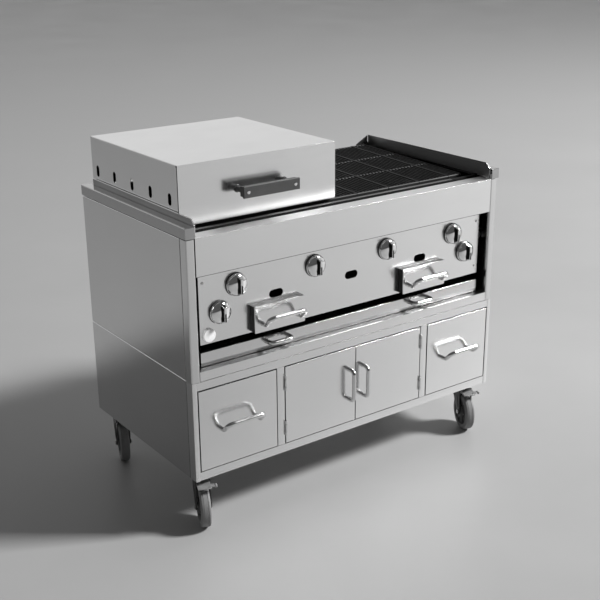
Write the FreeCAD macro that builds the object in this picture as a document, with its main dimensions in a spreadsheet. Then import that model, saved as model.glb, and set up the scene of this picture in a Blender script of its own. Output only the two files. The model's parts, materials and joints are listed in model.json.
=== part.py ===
"""Gas charbroiler on a wheeled storage cabinet, as an assembly of separate named pieces.

The frame: +Z up from the floor, X across the front from left to right, Y from front to back.
The origin is on the floor, under the middle of the whole appliance.  Sizes are in millimetres.
"""
import FreeCAD, Part
import math
import os
import re

import Sketcher

SIZES = {
    # Whole appliance.  "front" is the Y of the plane of doors, drawers and fascia.
    "width": 1150, "depth": 614, "front": -295.25, "sheet": 1.5, "gap": 0.5,
    "floor_gap": 165, "deck": 467.5, "side_top": 878, "cap_top": 910,
    "cap_width": 31, "cap_proud": 3, "post_depth": 33, "upper_post": 27, "flange": 15.5,
    # Lower cabinet: distances are from the middle of the front.
    "stile_width": 15.5, "mullion_near": 266, "mullion_far": 292, "bar_depth": 22,
    "bottom_bar_top": 192, "top_bar_low": 442, "panel_low": 194, "panel_high": 438.5,
    "front_thick": 20, "door_near": 1.5, "door_far": 263, "drawer_near": 295, "drawer_far": 556,
    "tub_inset": 14, "tub_low": 215, "tub_high": 400, "tub_length": 480,
    "runner_low": 306, "runner_thick": 8, "runner_proud": 9, "rail_thick": 6.5,
    "divider": 278, "knuckle_radius": 3.2, "hinge_pin": 1.5, "hinge_clear": 0.05,
    "hinge_line": 264.5, "hinge_proud": 3.8, "hinge_low": 245, "hinge_high": 390,
    "knuckle_half": 12, "leaf_width": 5,
    # Bent-rod pulls.
    "pull_radius": 6.5, "pull_reach": 27, "pull_bend": 16,
    "crank_foot": 12.9, "crank_bend": 10, "crank_reach": 32.6, "crank_drop": 13.5,
    "drawer_pull": 124, "door_pull": 98, "tray_pull": 76,
    "drawer_pull_height": 324, "door_pull_height": 322, "door_pull_place": 27.5,
    # Upper body.
    "upper_bar_top": 497, "recess": 26, "control_half": 528, "control_low": 562.5,
    "control_high": 790, "fascia_low": 770.5, "fascia_top": 877.5, "fascia_half": 546.5,
    "fascia_depth": 48, "slot_place": 273.5, "slot_height": 662, "slot_half": 12,
    "slot_radius": 12, "shaft_hole": 6, "shaft_radius": 4,
    "knob_inner": 136, "knob_outer": 408, "knob_edge": 464, "knob_row": 717,
    "knob_low_row": 647.5, "knob_radius": 33, "knob_clear": 3.5, "knob_tip": 34,
    "blade_half": 4.5, "blade_foot": 27, "blade_top": 12,
    "bezel_radius": 34, "bezel_thick": 2.5,
    "dial_place": 501, "dial_height": 588, "dial_radius": 19, "dial_proud": 8,
    "screw_place": 515, "screw_low": 590, "screw_high": 740, "screw_radius": 4.5,
    # Small box drawers and the drip tray.
    "box_place": 275, "box_half": 87, "box_low": 564, "box_high": 644, "box_front": 4,
    "box_tub_half": 79, "box_tub_low": 568, "box_tub_high": 632, "box_length": 200,
    "tray_low": 499, "tray_high": 539, "tray_half": 520, "tray_floor": 501,
    "tray_wall_top": 535, "tray_length": 560, "tray_pull_place": 272,
    "tray_rail_near": 480, "tray_rail_far": 500,
    # Firebox, grates and gas.
    "firebox_half": 540, "firebox_front": 60, "firebox_back": 598.5, "firebox_low": 640,
    "firebox_top": 866, "grate_front": 100, "grate_top": 884, "grate_slope": 1.85,
    "grate_length": 498, "grate_left": 544, "grate_pitch": 125, "grate_gap": 1.5,
    "grate_bar": 4.4, "grate_bar_high": 12, "grate_rod": 8,
    "filler_width": 57, "burner_height": 735, "burner_radius": 13, "burner_half": 68,
    "header_radius": 16,
    "burner_start": 120, "burner_end": 580, "mouth_start": 52, "mouth_bore": 9,
    "radiant_half": 45, "radiant_low": 772, "radiant_high": 800, "radiant_thick": 2,
    "manifold_radius": 10, "manifold_place": 44, "manifold_height": 682,
    "manifold_end": 480, "supply_place": 556, "inlet_radius": 13.3, "inlet_reach": 26,
    # Splash guards and lid.  The lid's distances are from the middle of the front.
    "guard_outer": 547, "guard_thick": 2.5, "guard_low": 880, "guard_top": 928,
    "left_guard_front": 0, "left_guard_back": 594, "right_guard_front": 8,
    "right_guard_back": 614, "guard_chamfer": 16, "guard_return": 57,
    "lid_left": 541.5, "lid_right": 13.5, "lid_front": 88, "lid_back": 604,
    "lid_low": 888, "lid_low_back": 904.5, "lid_top": 1055,
    "vent_half_width": 9, "vent_half_high": 8, "vent_height": 955, "vent_pitch": 108,
    "vent_middle": 350, "lid_pin_place": 609, "lid_pin_height": 909, "lid_pin": 2.5,
    "lid_knuckle": 4.5, "lid_hinge_length": 30, "lid_hinge_place": 190,
    "lid_grip_half": 94, "lid_grip_low": 950, "lid_grip_high": 983, "lid_grip_thick": 24,
    "lid_grip_gap": 34, "lid_grip_middle": 276, "lid_post_half": 78.5, "lid_post_radius": 8,
    # Casters, measured from the swivel line and from the floor.
    "caster_side": 52, "caster_front": 66, "caster_back": 44, "trail": 35,
    "wheel_radius": 62.5, "wheel_half": 15, "hub_half": 17, "axle_radius": 5,
    "fit": 0.05, "kingpin": 6, "head_radius": 24, "crown_low": 132, "crown_high": 136,
    "cup_low": 158.5, "cup_radius": 30, "plate_half": 42, "plate_thick": 4,
    "fork_near": 20, "fork_far": 23, "pedal_line": 34, "pedal_height": 141, "pedal_pin": 2.5,
    "turn_front_left": -112, "turn_front_right": -112,
    "turn_rear_left": -110, "turn_rear_right": -75,
}

DOORS = DRAWERS = ("left", "right")
CASTERS = ("front_left", "front_right", "rear_left", "rear_right")
AXIS_TURN = {
    "x": FreeCAD.Rotation(FreeCAD.Vector(0, 1, 0), 90),
    "y": FreeCAD.Rotation(FreeCAD.Vector(1, 0, 0), -90),
    "z": FreeCAD.Rotation(),
}
START_RADIUS = 50.0     # a fresh sketch outline starts as a ring of this size

doc = FreeCAD.newDocument("Charbroiler")
nodes = []


# ---------------------------------------------------------------- helpers

def write_sizes():
    """Put every driving dimension in a spreadsheet cell with its own name."""
    sheet = doc.addObject("Spreadsheet::Sheet", "Sizes")
    for row, (name, value) in enumerate(SIZES.items(), 1):
        sheet.set(f"A{row}", name)
        sheet.set(f"B{row}", str(value))
        sheet.setAlias(f"B{row}", name)
    doc.recompute()


def cells(formula):
    """Turn the names in a formula into references to the spreadsheet."""
    return re.sub(r"[a-z]\w*", lambda word: f"Sizes.{word[0]}" if word[0] in SIZES else word[0],
                  str(formula))


def bind(thing, path, formula):
    thing.setExpression(path, cells(formula))


def place(thing, x="0", y="0", z="0", turn=None):
    """Set an object's rotation and bind its position to three formulas."""
    thing.Placement = FreeCAD.Placement(FreeCAD.Vector(), turn or FreeCAD.Rotation())
    for axis, formula in (("x", x), ("y", y), ("z", z)):
        bind(thing, f"Placement.Base.{axis}", formula)
    return thing


def block(name, x, y, z):
    """A rectangular block between a low and a high formula on each axis."""
    solid = doc.addObject("Part::Box", name)
    place(solid, x[0], y[0], z[0])
    for side, (low, high) in (("Length", x), ("Width", y), ("Height", z)):
        bind(solid, side, f"({high}) - ({low})")
    return solid


def rod(name, axis, centre, radius, span):
    """A round bar along x, y or z; centre gives its other two coordinates in order."""
    solid = doc.addObject("Part::Cylinder", name)
    bind(solid, "Radius", radius)
    bind(solid, "Height", f"({span[1]}) - ({span[0]})")
    spot = list(centre)
    spot.insert("xyz".index(axis), span[0])
    return place(solid, *spot, turn=AXIS_TURN[axis])


def fused(name, parts):
    """Several overlapping solids made one."""
    whole = doc.addObject("Part::MultiFuse", name)
    whole.Shapes = parts
    whole.Refine = True
    return whole


def cut(name, base, tools):
    """A base solid less one or more tools."""
    result = doc.addObject("Part::Cut", name)
    result.Base = base
    result.Tool = tools[0] if len(tools) == 1 else fused(f"{name}_tools", tools)
    return result


def shared(name, first, second):
    """What two solids have in common."""
    result = doc.addObject("Part::Common", name)
    result.Base = first
    result.Tool = second
    return result


def group(name, parts):
    """Separate solids that share one node."""
    whole = doc.addObject("Part::Compound", name)
    whole.Links = parts
    return whole


def node(label, thing):
    """Name a finished sub-part."""
    thing.Label = label
    nodes.append(thing)
    return thing


def role(body, name):
    return next(item for item in body.Origin.OriginFeatures if item.Role == name)


def outline(body, plane, points, name, offset=0):
    """A closed polygon on one of the body's own planes, each corner bound to formulas."""
    sketch = body.newObject("Sketcher::SketchObject", name)
    sketch.AttachmentSupport = (role(body, plane), [""])
    sketch.MapMode = "FlatFace"
    bind(sketch, "AttachmentOffset.Base.z", offset)
    step = 2 * math.pi / len(points)
    ring = [FreeCAD.Vector(math.cos(i * step), math.sin(i * step), 0) * START_RADIUS
            for i in range(len(points))]
    for i, start in enumerate(ring):
        sketch.addGeometry(Part.LineSegment(start, ring[(i + 1) % len(ring)]), False)
    for i in range(len(points)):
        following = (i + 1) % len(points)
        sketch.addConstraint(Sketcher.Constraint("Coincident", i, 2, following, 1))
    for i, corner in enumerate(points):
        for kind, formula in zip(("DistanceX", "DistanceY"), corner):
            number = sketch.addConstraint(Sketcher.Constraint(kind, i, 1, 1.0))
            bind(sketch, f"Constraints[{number}]", formula)
    return sketch


def pad(body, sketch, length, reverse=False):
    feature = body.newObject("PartDesign::Pad", f"{sketch.Name}_pad")
    feature.Profile = sketch
    feature.Reversed = reverse
    bind(feature, "Length", length)
    return feature


def repeated(body, feature, axis, offset, times):
    """A row of copies of one feature, which becomes the body's tip."""
    pattern = body.newObject("PartDesign::LinearPattern", f"{feature.Name}_row")
    pattern.Originals = [feature]
    pattern.Direction = (role(body, axis), [""])
    pattern.Mode = "Spacing"
    bind(pattern, "Offset", offset)
    pattern.Occurrences = times
    body.Tip = pattern
    return pattern


def profile_along_x(name, points, span):
    """A (y, z) profile pushed along X, as a folded strip of sheet."""
    body = doc.addObject("PartDesign::Body", name)
    pad(body, outline(body, "YZ_Plane", points, f"{name}_profile"), f"({span[1]}) - ({span[0]})")
    return place(body, x=span[0])


def profile_along_y(name, points, span):
    """An (x, z) profile pushed from front to back."""
    body = doc.addObject("PartDesign::Body", name)
    sketch = outline(body, "XZ_Plane", points, f"{name}_profile")
    pad(body, sketch, f"({span[1]}) - ({span[0]})", reverse=True)
    return place(body, y=span[0])


def turned(name, points):
    """A (radius, y) profile turned about its own Y axis."""
    body = doc.addObject("PartDesign::Body", name)
    sketch = outline(body, "XY_Plane", points, f"{name}_profile")
    feature = body.newObject("PartDesign::Revolution", f"{name}_turn")
    feature.Profile = sketch
    feature.ReferenceAxis = (sketch, ["V_Axis"])
    feature.Angle = 360
    return body


def across(side, near, far):
    """Limits on X at a near and a far distance from the middle, on the named side."""
    return (f"-({far})", f"-({near})") if side == "left" else (near, far)


def at(side, distance):
    return f"-({distance})" if side == "left" else distance


def back(distance):
    """A place behind the front plane."""
    return f"front + {distance}"


def box_section(name, x, y, z, axis):
    """A rectangular tube of sheet with open ends along one axis."""
    limits = {"x": x, "y": y, "z": z}
    inner = {key: (low, high) if key == axis else (f"{low} + sheet", f"{high} - sheet")
             for key, (low, high) in limits.items()}
    return cut(name, block(f"{name}_outer", x, y, z),
               [block(f"{name}_inner", inner["x"], inner["y"], inner["z"])])


def open_tub(name, x, y, z):
    """A sheet tub with an open top."""
    inside = [(f"{low} + sheet", f"{high} - sheet") for low, high in (x, y)]
    return cut(name, block(f"{name}_outer", x, y, z),
               [block(f"{name}_inside", *inside, (f"{z[0]} + sheet", f"{z[1]} + sheet"))])


def pan(name, x, y, z):
    """A front panel folded back on its four sides and open behind."""
    hollow = [(f"{low} + sheet", f"{high} - sheet") for low, high in (x, z)]
    return cut(name, block(f"{name}_outer", x, y, z),
               [block(f"{name}_hollow", hollow[0], (f"{y[0]} + sheet", f"{y[1]} + sheet"),
                      hollow[1])])


def bent_rod(name, length, x, y, z, reach="pull_reach", turn=None):
    """A bent-rod pull: two legs, two quarter bends and a bar, length from leg to leg."""
    parts = [rod(f"{name}_bar", "x", (f"-({reach})", "0"), "pull_radius",
                 (f"-({length})/2 + pull_bend", f"({length})/2 - pull_bend"))]
    for side, start in (("left", 180), ("right", 270)):
        parts.append(rod(f"{name}_{side}_leg", "y", (at(side, f"({length})/2"), "0"),
                         "pull_radius", (f"-({reach}) + pull_bend", "0")))
        bend = doc.addObject("Part::Torus", f"{name}_{side}_bend")
        bind(bend, "Radius1", "pull_bend")
        bind(bend, "Radius2", "pull_radius")
        bend.Angle3 = 90
        place(bend, x=at(side, f"({length})/2 - pull_bend"), y=f"-({reach}) + pull_bend",
              turn=FreeCAD.Rotation(FreeCAD.Vector(0, 0, 1), start))
        parts.append(bend)
    return place(fused(name, parts), x, y, z, turn)


def cranked_rod(name, length, x, y, z):
    """A bent-rod pull whose two feet are cranked, so the loop rises at 45 degrees."""
    tilt = FreeCAD.Rotation(FreeCAD.Vector(1, 0, 0), -45)
    upward = FreeCAD.Rotation(FreeCAD.Vector(0, 0, -1), FreeCAD.Vector(0, -1, 0),
                              FreeCAD.Vector(-1, 0, 0), "XYZ")
    parts = [bent_rod(f"{name}_loop", length, "0", "-crank_foot - crank_bend*sin(45)",
                      "crank_bend*(1 - cos(45))", "crank_reach", tilt)]
    for side in ("left", "right"):
        foot = at(side, f"({length})/2")
        parts.append(rod(f"{name}_{side}_foot", "y", (foot, "0"), "pull_radius",
                         ("-crank_foot", "0")))
        crank = doc.addObject("Part::Torus", f"{name}_{side}_crank")
        bind(crank, "Radius1", "crank_bend")
        bind(crank, "Radius2", "pull_radius")
        crank.Angle3 = 45
        parts.append(place(crank, foot, "-crank_foot", "crank_bend", upward))
    return place(fused(name, parts), x, y, z)


# ---------------------------------------------------------------- lower cabinet

def cabinet_shell():
    """Side panels with turned-in edges, back, floor and the front frame of square tubes."""
    sides = []
    for side in ("left", "right"):
        points = [("width/2", "floor_gap"), ("width/2", "deck"), ("width/2 - flange", "deck"),
                  ("width/2 - flange", "deck - sheet"), ("width/2 - sheet", "deck - sheet"),
                  ("width/2 - sheet", "floor_gap + sheet"),
                  ("width/2 - flange", "floor_gap + sheet"), ("width/2 - flange", "floor_gap")]
        points = [(at(side, x), z) for x, z in points]
        sides.append(profile_along_y(f"cabinet_side_{side}", points,
                                     (back("post_depth"), back("depth"))))
    node("cabinet_sides", group("cabinet_sides", sides))
    inner = ("-width/2 + sheet", "width/2 - sheet")
    node("cabinet_back", block("cabinet_back", inner, (back("depth - sheet"), back("depth")),
                               ("floor_gap + sheet", "deck - sheet")))
    tall = ("floor_gap", "deck")
    between = ("-width/2 + stile_width", "width/2 - stile_width")
    node("cabinet_floor", block("cabinet_floor", between, (back("bar_depth"), back("depth")),
                                ("floor_gap", "floor_gap + sheet")))
    bars = [
        box_section("bottom_bar", between, (back(0), back("bar_depth")),
                    ("floor_gap", "bottom_bar_top"), "x"),
        box_section("top_bar", between, (back(0), back("bar_depth")),
                    ("top_bar_low", "deck"), "x"),
    ]
    for side in ("left", "right"):
        bars.append(box_section(f"{side}_stile", across(side, "width/2 - stile_width", "width/2"),
                                (back(0), back("post_depth")), tall, "z"))
        bars.append(box_section(f"{side}_mullion", across(side, "mullion_near", "mullion_far"),
                                (back(0), back("bar_depth")),
                                ("bottom_bar_top", "top_bar_low"), "z"))
    node("cabinet_front_frame", group("cabinet_front_frame", bars))


def cabinet_dividers():
    """The two walls between drawers and cupboard, and the rails that the drawers run on."""
    walls = []
    rails = []
    height = ("runner_low - gap - rail_thick", "runner_low - gap")
    long = (back("post_depth + 1"), back("depth - 50"))
    for side in DRAWERS:
        walls.append(block(f"{side}_divider", across(side, "divider", "divider + sheet"),
                           (back("bar_depth"), back("depth - sheet")),
                           ("floor_gap + sheet", "deck - sheet")))
        rails.append(block(f"{side}_outer_rail",
                           across(side, "drawer_far - tub_inset + 2*gap", "width/2 - sheet"),
                           long, height))
        rails.append(block(f"{side}_inner_rail",
                           across(side, "divider + sheet", "drawer_near + tub_inset - 2*gap"),
                           long, height))
    node("cabinet_dividers", group("cabinet_dividers", walls))
    node("drawer_rails", group("drawer_rails", rails))


def cabinet_drawer(side):
    """A drawer: folded front, sheet tub and the runners on its two sides."""
    near = "drawer_near + tub_inset"
    far = "drawer_far - tub_inset"
    long = (back("front_thick + 10"), back("tub_length - 10"))
    height = ("runner_low", "runner_low + runner_thick")
    parts = [
        pan(f"{side}_drawer_front", across(side, "drawer_near", "drawer_far"),
            (back(0), back("front_thick")), ("panel_low", "panel_high")),
        open_tub(f"{side}_drawer_tub", across(side, near, far),
                 (back("sheet"), back("tub_length")), ("tub_low", "tub_high")),
        block(f"{side}_drawer_outer_runner", across(side, far, f"{far} + runner_proud"),
              long, height),
        block(f"{side}_drawer_inner_runner", across(side, f"{near} - runner_proud", near),
              long, height),
    ]
    name = f"cabinet_drawer_{side}"
    node(name, fused(name, parts))
    middle = at(side, "(drawer_near + drawer_far)/2")
    node(f"{name}_pull", cranked_rod(f"{name}_pull", "drawer_pull", middle, back(0),
                                     "drawer_pull_height - crank_drop"))


def knuckle(name, side, span, leaf):
    """One hinge knuckle with a short leaf, which lies on the face at the given distances."""
    barrel = rod(f"{name}_barrel", "z", (at(side, "hinge_line"), back("-hinge_proud")),
                 "knuckle_radius", span)
    plate = block(f"{name}_leaf", across(side, *leaf), (back("-sheet"), back(0)), span)
    return [barrel, plate]


def door(side):
    """A cupboard door: folded panel, with the middle knuckles of its two hinges."""
    parts = [pan(f"{side}_door_panel", across(side, "door_near", "door_far"),
                 (back(0), back("front_thick")), ("panel_low", "panel_high"))]
    for height in ("hinge_low", "hinge_high"):
        span = (f"{height} - knuckle_half", f"{height} + knuckle_half")
        parts += knuckle(f"{side}_door_{height}", side, span,
                         ("hinge_line - leaf_width", "hinge_line"))
    bore = rod(f"{side}_door_bore", "z", (at(side, "hinge_line"), back("-hinge_proud")),
               "hinge_pin + hinge_clear", ("panel_low", "panel_high"))
    name = f"cupboard_door_{side}"
    node(name, cut(name, fused(f"{side}_door_whole", parts), [bore]))
    upright = FreeCAD.Rotation(FreeCAD.Vector(0, 1, 0), 90)
    node(f"{name}_pull", bent_rod(f"{name}_pull", "door_pull", at(side, "door_pull_place"),
                                  back(0), "door_pull_height", turn=upright))


def door_hinge_pins():
    """The fixed halves of the four door hinges, each with its pin."""
    hinges = []
    for side in DOORS:
        for height in ("hinge_low", "hinge_high"):
            name = f"{side}_{height}"
            reach = "knuckle_half + gap"
            parts = [rod(f"{name}_pin", "z", (at(side, "hinge_line"), back("-hinge_proud")),
                         "hinge_pin", (f"{height} - 2*knuckle_half", f"{height} + 2*knuckle_half"))]
            parts += knuckle(f"{name}_lower", side,
                             (f"{height} - 2*knuckle_half", f"{height} - ({reach})"),
                             ("hinge_line", "hinge_line + leaf_width"))
            parts += knuckle(f"{name}_upper", side,
                             (f"{height} + {reach}", f"{height} + 2*knuckle_half"),
                             ("hinge_line", "hinge_line + leaf_width"))
            hinges.append(fused(name, parts))
    node("door_hinge_pins", group("door_hinge_pins", hinges))


# ---------------------------------------------------------------- upper body

def body_shell():
    """Upper sides, back, deck, front posts and the folded caps along both sides."""
    sides = []
    posts = [box_section("upper_bar", ("-width/2 + upper_post", "width/2 - upper_post"),
                         (back(0), back("post_depth")), ("deck", "upper_bar_top"), "x")]
    caps = []
    for side in ("left", "right"):
        points = [("width/2", "deck + sheet"), ("width/2", "side_top"),
                  ("width/2 - flange", "side_top"), ("width/2 - flange", "side_top - sheet"),
                  ("width/2 - sheet", "side_top - sheet"), ("width/2 - sheet", "deck + 2*sheet"),
                  ("width/2 - flange", "deck + 2*sheet"), ("width/2 - flange", "deck + sheet")]
        points = [(at(side, x), z) for x, z in points]
        sides.append(profile_along_y(f"body_side_{side}", points,
                                     (back("post_depth"), back("depth"))))
        posts.append(box_section(f"{side}_post", across(side, "width/2 - upper_post", "width/2"),
                                 (back(0), back("post_depth")), ("deck", "side_top"), "z"))
        wide = across(side, "width/2 + cap_proud - cap_width", "width/2 + cap_proud")
        tube = box_section(f"{side}_cap_tube", wide, (back("-cap_proud"), back("depth")),
                           ("side_top", "cap_top"), "y")
        end = block(f"{side}_cap_end", wide, (back("-cap_proud"), back("-cap_proud + sheet")),
                    ("side_top", "cap_top"))
        caps.append(fused(f"{side}_cap", [tube, end]))
    node("body_sides", group("body_sides", sides))
    node("body_front_frame", group("body_front_frame", posts))
    node("side_caps", group("side_caps", caps))
    supply = rod("back_supply_hole", "y", ("supply_place", "manifold_height"),
                 "manifold_radius + 1", (back("depth - 10"), back("depth + 10")))
    thick = (back("depth - sheet"), back("depth"))
    plate = block("back_plate", ("-width/2 + sheet", "width/2 - sheet"), thick,
                  ("deck + 2*sheet", "side_top - sheet"))
    lip = block("back_lip", ("-guard_outer", "guard_outer"), thick,
                ("side_top - sheet", "guard_low + 4"))
    node("body_back", cut("body_back", fused("back_whole", [plate, lip]), [supply]))


def body_deck():
    """The deck between cabinet and body, with the two rails under the drip tray."""
    parts = [block("deck_plate", ("-width/2 + sheet", "width/2 - sheet"),
                   (back("post_depth"), back("depth")), ("deck", "deck + sheet"))]
    for side in ("left", "right"):
        parts.append(block(f"{side}_tray_rail", across(side, "tray_rail_near", "tray_rail_far"),
                           (back("post_depth"), back("depth - 30")),
                           ("deck", "tray_floor - gap")))
    node("body_deck", fused("body_deck", parts))


def fascia():
    """The deep front fascia: one folded strip with a top flange and a bottom return."""
    points = [(0, "fascia_low"), (0, "fascia_top"), ("fascia_depth", "fascia_top"),
              ("fascia_depth", "fascia_top - sheet"), ("sheet", "fascia_top - sheet"),
              ("sheet", "fascia_low + sheet"), ("recess", "fascia_low + sheet"),
              ("recess", "fascia_low")]
    points = [(back(y), z) for y, z in points]
    node("fascia_panel", profile_along_x("fascia_panel", points, ("-fascia_half", "fascia_half")))


def knob_places():
    """Name, X and height of every control, from left to right."""
    return [("pilot_knob_left", "-knob_edge", "knob_low_row"),
            ("burner_knob_1", "-knob_outer", "knob_row"),
            ("burner_knob_2", "-knob_inner", "knob_row"),
            ("burner_knob_3", "knob_inner", "knob_row"),
            ("burner_knob_4", "knob_outer", "knob_row"),
            ("pilot_knob_right", "knob_edge", "knob_low_row")]


def obround(name, x, span):
    """A slot cutter with round ends, long side along X."""
    ends = [rod(f"{name}_{end}", "y", (f"{x} {sign} slot_half", "slot_height"),
                "slot_radius", span) for end, sign in (("start", "-"), ("stop", "+"))]
    middle = block(f"{name}_middle", (f"{x} - slot_half", f"{x} + slot_half"), span,
                   ("slot_height - slot_radius", "slot_height + slot_radius"))
    return [*ends, middle]


def control_panel():
    """The recessed control panel with shaft holes, air slots and two drawer openings.

    The sheet is one piece in the real appliance.  Here it is patches that touch, so that every
    slot and opening has plain solids round it.
    """
    through = (back("recess - 10"), back("recess + 10"))
    tools = []
    for name, x, z in knob_places():
        tools.append(rod(f"{name}_hole", "y", (x, z), "shaft_hole", through))
    for number, x in enumerate(("-slot_place", "0", "slot_place")):
        tools += obround(f"air_slot_{number}", x, through)
    for side in DRAWERS:
        tools.append(block(f"{side}_box_opening",
                           across(side, "box_place - box_tub_half - 2",
                                  "box_place + box_tub_half + 2"),
                           through, ("box_tub_low - 2", "box_tub_high + 2")))
    plate = block("control_plate", ("-control_half", "control_half"),
                  (back("recess"), back("recess + sheet")), ("control_low", "control_high"))
    sheet = cut("control_sheet", plate, tools)
    edge = "(box_place + box_tub_half + 2)"
    columns = ("-control_half", f"-{edge}", "-slot_place", "0", "slot_place", edge,
               "control_half")
    rows = ("control_low", "slot_height", "control_high")
    patches = []
    for column, x in enumerate(zip(columns, columns[1:])):
        for row, z in enumerate(zip(rows, rows[1:])):
            name = f"control_patch_{column}_{row}"
            patches.append(shared(name, sheet, block(f"{name}_box", x, through, z)))
    node("control_panel", group("control_panel", patches))


def control_trim():
    """Bezels behind the knobs, the round dial and the panel's screws."""
    bezels = []
    face = (back("recess - bezel_thick"), back("recess"))
    for name, x, z in knob_places():
        ring = rod(f"{name}_bezel_disc", "y", (x, z), "bezel_radius", face)
        bore = rod(f"{name}_bezel_bore", "y", (x, z), "shaft_hole", face)
        bezels.append(cut(f"{name}_bezel", ring, [bore]))
    node("knob_bezels", group("knob_bezels", bezels))
    node("temperature_dial", rod("temperature_dial", "y", ("-dial_place", "dial_height"),
                                 "dial_radius", (back("recess - dial_proud"), back("recess"))))
    screws = [rod(f"{side}_{height}", "y", (at(side, "screw_place"), height), "screw_radius",
                  (back("recess - 2"), back("recess")))
              for side, height in (("left", "screw_high"), ("right", "screw_low"),
                                   ("right", "screw_high"))]
    node("panel_screws", group("panel_screws", screws))


def knob(name, x, z):
    """A control knob: skirt, domed face and a tapered blade, with a bore for its valve shaft."""
    points = [("shaft_radius + fit", "-knob_clear"), ("knob_radius - 1", "-knob_clear"),
              ("knob_radius", "-knob_clear - 1"), ("knob_radius", -9),
              ("knob_radius - 2", -12), ("knob_radius - 7", -15), ("knob_radius/2", -18),
              (0, -19.5), (0, -16), ("shaft_radius + fit", -16)]
    body = turned(name, points)
    corners = [(-10, "-blade_foot"), (-10, -6), (-17, -6), (-17, 6), (-10, 6),
               (-10, "blade_foot"), ("-knob_tip", "blade_top"), ("-knob_tip", "-blade_top")]
    blade = outline(body, "YZ_Plane", corners, f"{name}_blade", offset="-blade_half")
    body.Tip = pad(body, blade, "2*blade_half")
    node(name, place(body, x, back("recess"), z))


def box_drawer(side):
    """A small drawer in the control panel: a box front and a tub behind it."""
    face = across(side, "box_place - box_half", "box_place + box_half")
    tub = across(side, "box_place - box_tub_half", "box_place + box_tub_half")
    parts = [
        pan(f"{side}_box_front", face, (back("box_front"), back("recess - gap")),
            ("box_low", "box_high")),
        open_tub(f"{side}_box_tub", tub, (back("box_front + sheet"), back("box_length")),
                 ("box_tub_low", "box_tub_high")),
    ]
    name = f"box_drawer_{side}"
    node(name, fused(name, parts))
    node(f"{name}_pull", cranked_rod(f"{name}_pull", "drawer_pull", at(side, "box_place"),
                                     back("box_front"), "(box_low + box_high)/2 - crank_drop"))


def drip_tray():
    """The wide grease tray with its front strip and two pulls."""
    parts = [
        block("tray_front", ("-control_half", "control_half"),
              (back("recess"), back("recess + sheet")), ("tray_low", "tray_high")),
        open_tub("tray_tub", ("-tray_half", "tray_half"),
                 (back("recess + sheet"), back("tray_length")), ("tray_floor", "tray_wall_top")),
    ]
    node("drip_tray", fused("drip_tray", parts))
    pulls = [bent_rod(f"{side}_tray_pull", "tray_pull", at(side, "tray_pull_place"),
                      back("recess"), "(tray_low + tray_high)/2 + 5")
             for side in ("left", "right")]
    node("drip_tray_pulls", group("drip_tray_pulls", pulls))


# ---------------------------------------------------------------- firebox, grates and gas

def burner_middles():
    return [("1", "-knob_outer"), ("2", "-knob_inner"), ("3", "knob_inner"), ("4", "knob_outer")]


def firebox():
    """The four walls around the burners, with a round hole for each burner's mouth."""
    height = ("firebox_low", "firebox_top")
    side_long = (back("firebox_front"), back("firebox_back"))
    walls = [
        block("firebox_front_wall", ("-firebox_half", "firebox_half"),
              (back("firebox_front"), back("firebox_front + sheet")), height),
        block("firebox_back_wall", ("-firebox_half", "firebox_half"),
              (back("firebox_back - sheet"), back("firebox_back")), height),
    ]
    for side in ("left", "right"):
        walls.append(block(f"firebox_{side}_wall",
                           across(side, "firebox_half - sheet", "firebox_half"),
                           side_long, height))
    holes = [rod(f"mouth_hole_{number}", "y", (x, "burner_height"), "burner_radius + gap",
                 (back("firebox_front - 5"), back("firebox_front + 5")))
             for number, x in burner_middles()]
    node("firebox_shell", cut("firebox_shell", fused("firebox_walls", walls), holes))


def burners():
    """Four U-shaped tube burners, each with an open mouth towards its valve."""
    whole = []
    for number, x in burner_middles():
        name = f"burner_{number}"
        level = "burner_height"
        parts = [
            rod(f"{name}_header", "x", (back("burner_start"), level), "header_radius",
                (f"{x} - burner_half - header_radius", f"{x} + burner_half + header_radius")),
            rod(f"{name}_mouth", "y", (x, level), "burner_radius",
                (back("mouth_start"), back("burner_start"))),
        ]
        for leg, sign in (("left", "-"), ("right", "+")):
            parts.append(rod(f"{name}_{leg}_leg", "y", (f"{x} {sign} burner_half", level),
                             "burner_radius", (back("burner_start"), back("burner_end"))))
        bore = rod(f"{name}_bore", "y", (x, level), "mouth_bore",
                   (back("mouth_start - 5"), back("burner_start")))
        whole.append(cut(name, fused(f"{name}_tubes", parts), [bore]))
    node("burners", group("burners", whole))


def radiants():
    """A ridged heat radiant over each burner leg, held by the firebox's front and back walls."""
    ridges = []
    long = (back("firebox_front + 2*sheet"), back("firebox_back - 2*sheet"))
    for number, x in burner_middles():
        for leg, sign in (("left", "-"), ("right", "+")):
            middle = f"{x} {sign} burner_half"
            points = [(f"{middle} - radiant_half", "radiant_low"), (middle, "radiant_high"),
                      (f"{middle} + radiant_half", "radiant_low"),
                      (f"{middle} + radiant_half", "radiant_low - radiant_thick"),
                      (middle, "radiant_high - radiant_thick"),
                      (f"{middle} - radiant_half", "radiant_low - radiant_thick")]
            ridges.append(profile_along_y(f"radiant_{number}_{leg}", points, long))
    node("heat_radiants", group("heat_radiants", ridges))


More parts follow.
